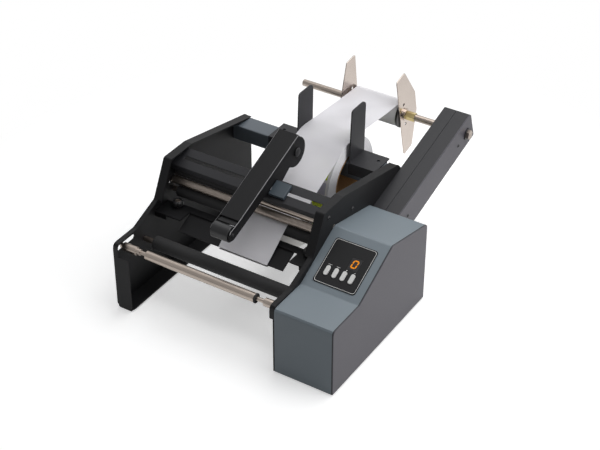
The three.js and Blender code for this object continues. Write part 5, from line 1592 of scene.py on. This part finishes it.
class APPLICATOR_OT_stage(PieceOperator, bpy.types.Operator):
    """Adds the floor, the lamps, the backdrop and the camera"""

    bl_idname = "applicator.stage"
    bl_label = "Stage"

    def execute(self, context):
        settings = context.scene.applicator_stage
        context.scene.view_settings.view_transform = "Standard"
        self.add_floor(settings)
        self.add_world(context.scene, settings)
        for name, power, place, target, size in LAMPS:
            lamp = bpy.data.lights.new(name, "AREA")
            lamp.shape = "RECTANGLE"
            lamp.size = lamp.size_y = size
            lamp.energy = getattr(settings, power)
            holder = self.place_object(name, lamp, place)
            holder.rotation_euler = (Vector(target) - Vector(place)).to_track_quat("-Z", "Y").to_euler()
        lens = bpy.data.cameras.new("camera")
        lens.lens = settings.lens
        lens.sensor_width = SENSOR
        lens.clip_end = 20
        camera = self.place_object("camera", lens, CAMERA_PLACE)
        camera.rotation_euler = [math.radians(angle) for angle in CAMERA_TURN]
        context.scene.camera = camera
        return {"FINISHED"}

    def place_object(self, name, data, place):
        made = bpy.data.objects.new(name, data)
        bpy.context.scene.collection.objects.link(made)
        made.location = place
        return made

    def add_floor(self, settings):
        """A pale floor that takes the object's shadow and fades into the backdrop."""
        half = FLOOR["half"]
        corners = [(-half, -half), (half, -half), (half, half), (-half, half)]
        floor = plain_object("floor", prism(corners, -FLOOR["thickness"], 0.0))
        paint = bpy.data.materials.new("matt_floor")
        paint.use_nodes = True
        tree = paint.node_tree
        tree.nodes.clear()
        seen = self.seen_by_camera(tree)
        tones = {"To Min": FLOOR["bounce"], "To Max": FLOOR["tone"]}
        tone = add_node(tree, "ShaderNodeMapRange", tones, {"Value": seen})
        diffuse = add_node(tree, "ShaderNodeBsdfDiffuse", links={"Color": tone})
        backdrop = add_node(tree, "ShaderNodeEmission", {"Color": (*settings.backdrop, 1)})
        place = add_node(tree, "ShaderNodeTexCoord").outputs["Object"]
        reach = add_node(tree, "ShaderNodeVectorMath", {"operation": "LENGTH"}, {0: place})
        fade = add_node(tree, "ShaderNodeMapRange", FLOOR_FADE, {"Value": reach.outputs["Value"]})
        share = add_node(tree, "ShaderNodeMath", {"operation": "MULTIPLY"}, {0: fade, 1: seen})
        own = add_node(tree, "ShaderNodeMath", {"operation": "MULTIPLY", 1: FLOOR["glow"]}, {0: seen})
        lift = add_node(tree, "ShaderNodeEmission", links={"Strength": own})
        near = add_node(tree, "ShaderNodeAddShader", links={0: diffuse, 1: lift})
        mix = add_node(tree, "ShaderNodeMixShader", links={0: share, 1: near, 2: backdrop})
        add_node(tree, "ShaderNodeOutputMaterial", links={"Surface": mix})
        floor.data.materials.append(paint)

    def seen_by_camera(self, tree):
        """1 for rays that show the backdrop: straight, mirrored or through glass."""
        path = add_node(tree, "ShaderNodeLightPath")
        seen = path.outputs["Is Camera Ray"]
        for kind in ("Is Glossy Ray", "Is Transmission Ray"):
            both = {0: seen, 1: path.outputs[kind]}
            seen = add_node(tree, "ShaderNodeMath", {"operation": "MAXIMUM"}, both)
        return seen

    def add_world(self, scene, settings):
        """A soft light all round, and a white backdrop for what sees it."""
        world = bpy.data.worlds.new("studio")
        world.use_nodes = True
        tree = world.node_tree
        tree.nodes.clear()
        soft = add_node(tree, "ShaderNodeBackground", SOFT_LIGHT)
        white = add_node(tree, "ShaderNodeBackground", {"Color": (*settings.backdrop, 1), "Strength": 1.0})
        way = add_node(tree, "ShaderNodeTexCoord").outputs["Generated"]
        depth = add_node(tree, "ShaderNodeSeparateXYZ", links={0: way}).outputs[1]
        room = add_node(tree, "ShaderNodeMapRange", ROOM, {"Value": depth})
        glossy = add_node(tree, "ShaderNodeLightPath").outputs["Is Glossy Ray"]
        plain = {"data_type": "FLOAT", 2: 1.0}
        strength = add_node(tree, "ShaderNodeMix", plain, {0: glossy, 3: room})
        tree.links.new(strength.outputs[0], white.inputs["Strength"])
        mix = add_node(tree, "ShaderNodeMixShader", links={0: self.seen_by_camera(tree), 1: soft, 2: white})
        add_node(tree, "ShaderNodeOutputWorld", links={"Surface": mix})
        scene.world = world


OPERATORS = (
    APPLICATOR_OT_side_plates, APPLICATOR_OT_beam_and_feet, APPLICATOR_OT_front_roller,
    APPLICATOR_OT_rubber_rollers, APPLICATOR_OT_steel_rollers, APPLICATOR_OT_label_roll, APPLICATOR_OT_webs,
    APPLICATOR_OT_label_guide, APPLICATOR_OT_sensor, APPLICATOR_OT_press_arm, APPLICATOR_OT_roll_guides,
    APPLICATOR_OT_control_box, APPLICATOR_OT_control_panel, APPLICATOR_OT_drive, APPLICATOR_OT_rear_sockets,
    APPLICATOR_OT_takeup_arm, APPLICATOR_OT_mandrel, APPLICATOR_OT_flanges, APPLICATOR_OT_stage,
)
GROUPS = {
    "applicator_sizes": ApplicatorSizes,
    "applicator_colours": ApplicatorColours,
    "applicator_stage": ApplicatorStage,
}


class APPLICATOR_PT_panel(bpy.types.Panel):
    """Sizes, colours and steps of the label applicator"""

    bl_idname = "APPLICATOR_PT_panel"
    bl_label = "Label Applicator"
    bl_space_type = "VIEW_3D"
    bl_region_type = "UI"
    bl_category = "Applicator"

    def draw(self, context):
        for group in [getattr(context.scene, name) for name in GROUPS]:
            box = self.layout.box()
            for name in group.bl_rna.properties.keys():
                if name not in {"rna_type", "name"}:
                    box.prop(group, name)
        for operator in OPERATORS:
            self.layout.operator(operator.bl_idname)


CLASSES = (*GROUPS.values(), *OPERATORS, APPLICATOR_PT_panel)


def register():
    for item in CLASSES:
        bpy.utils.register_class(item)
    for name, group in GROUPS.items():
        setattr(bpy.types.Scene, name, bpy.props.PointerProperty(type=group))


def unregister():
    for name in GROUPS:
        delattr(bpy.types.Scene, name)
    for item in reversed(CLASSES):
        bpy.utils.unregister_class(item)


def main():
    register()
    for item in OPERATORS:
        group, name = item.bl_idname.split(".")
        getattr(getattr(bpy.ops, group), name)()


if __name__ == "__main__":
    main()
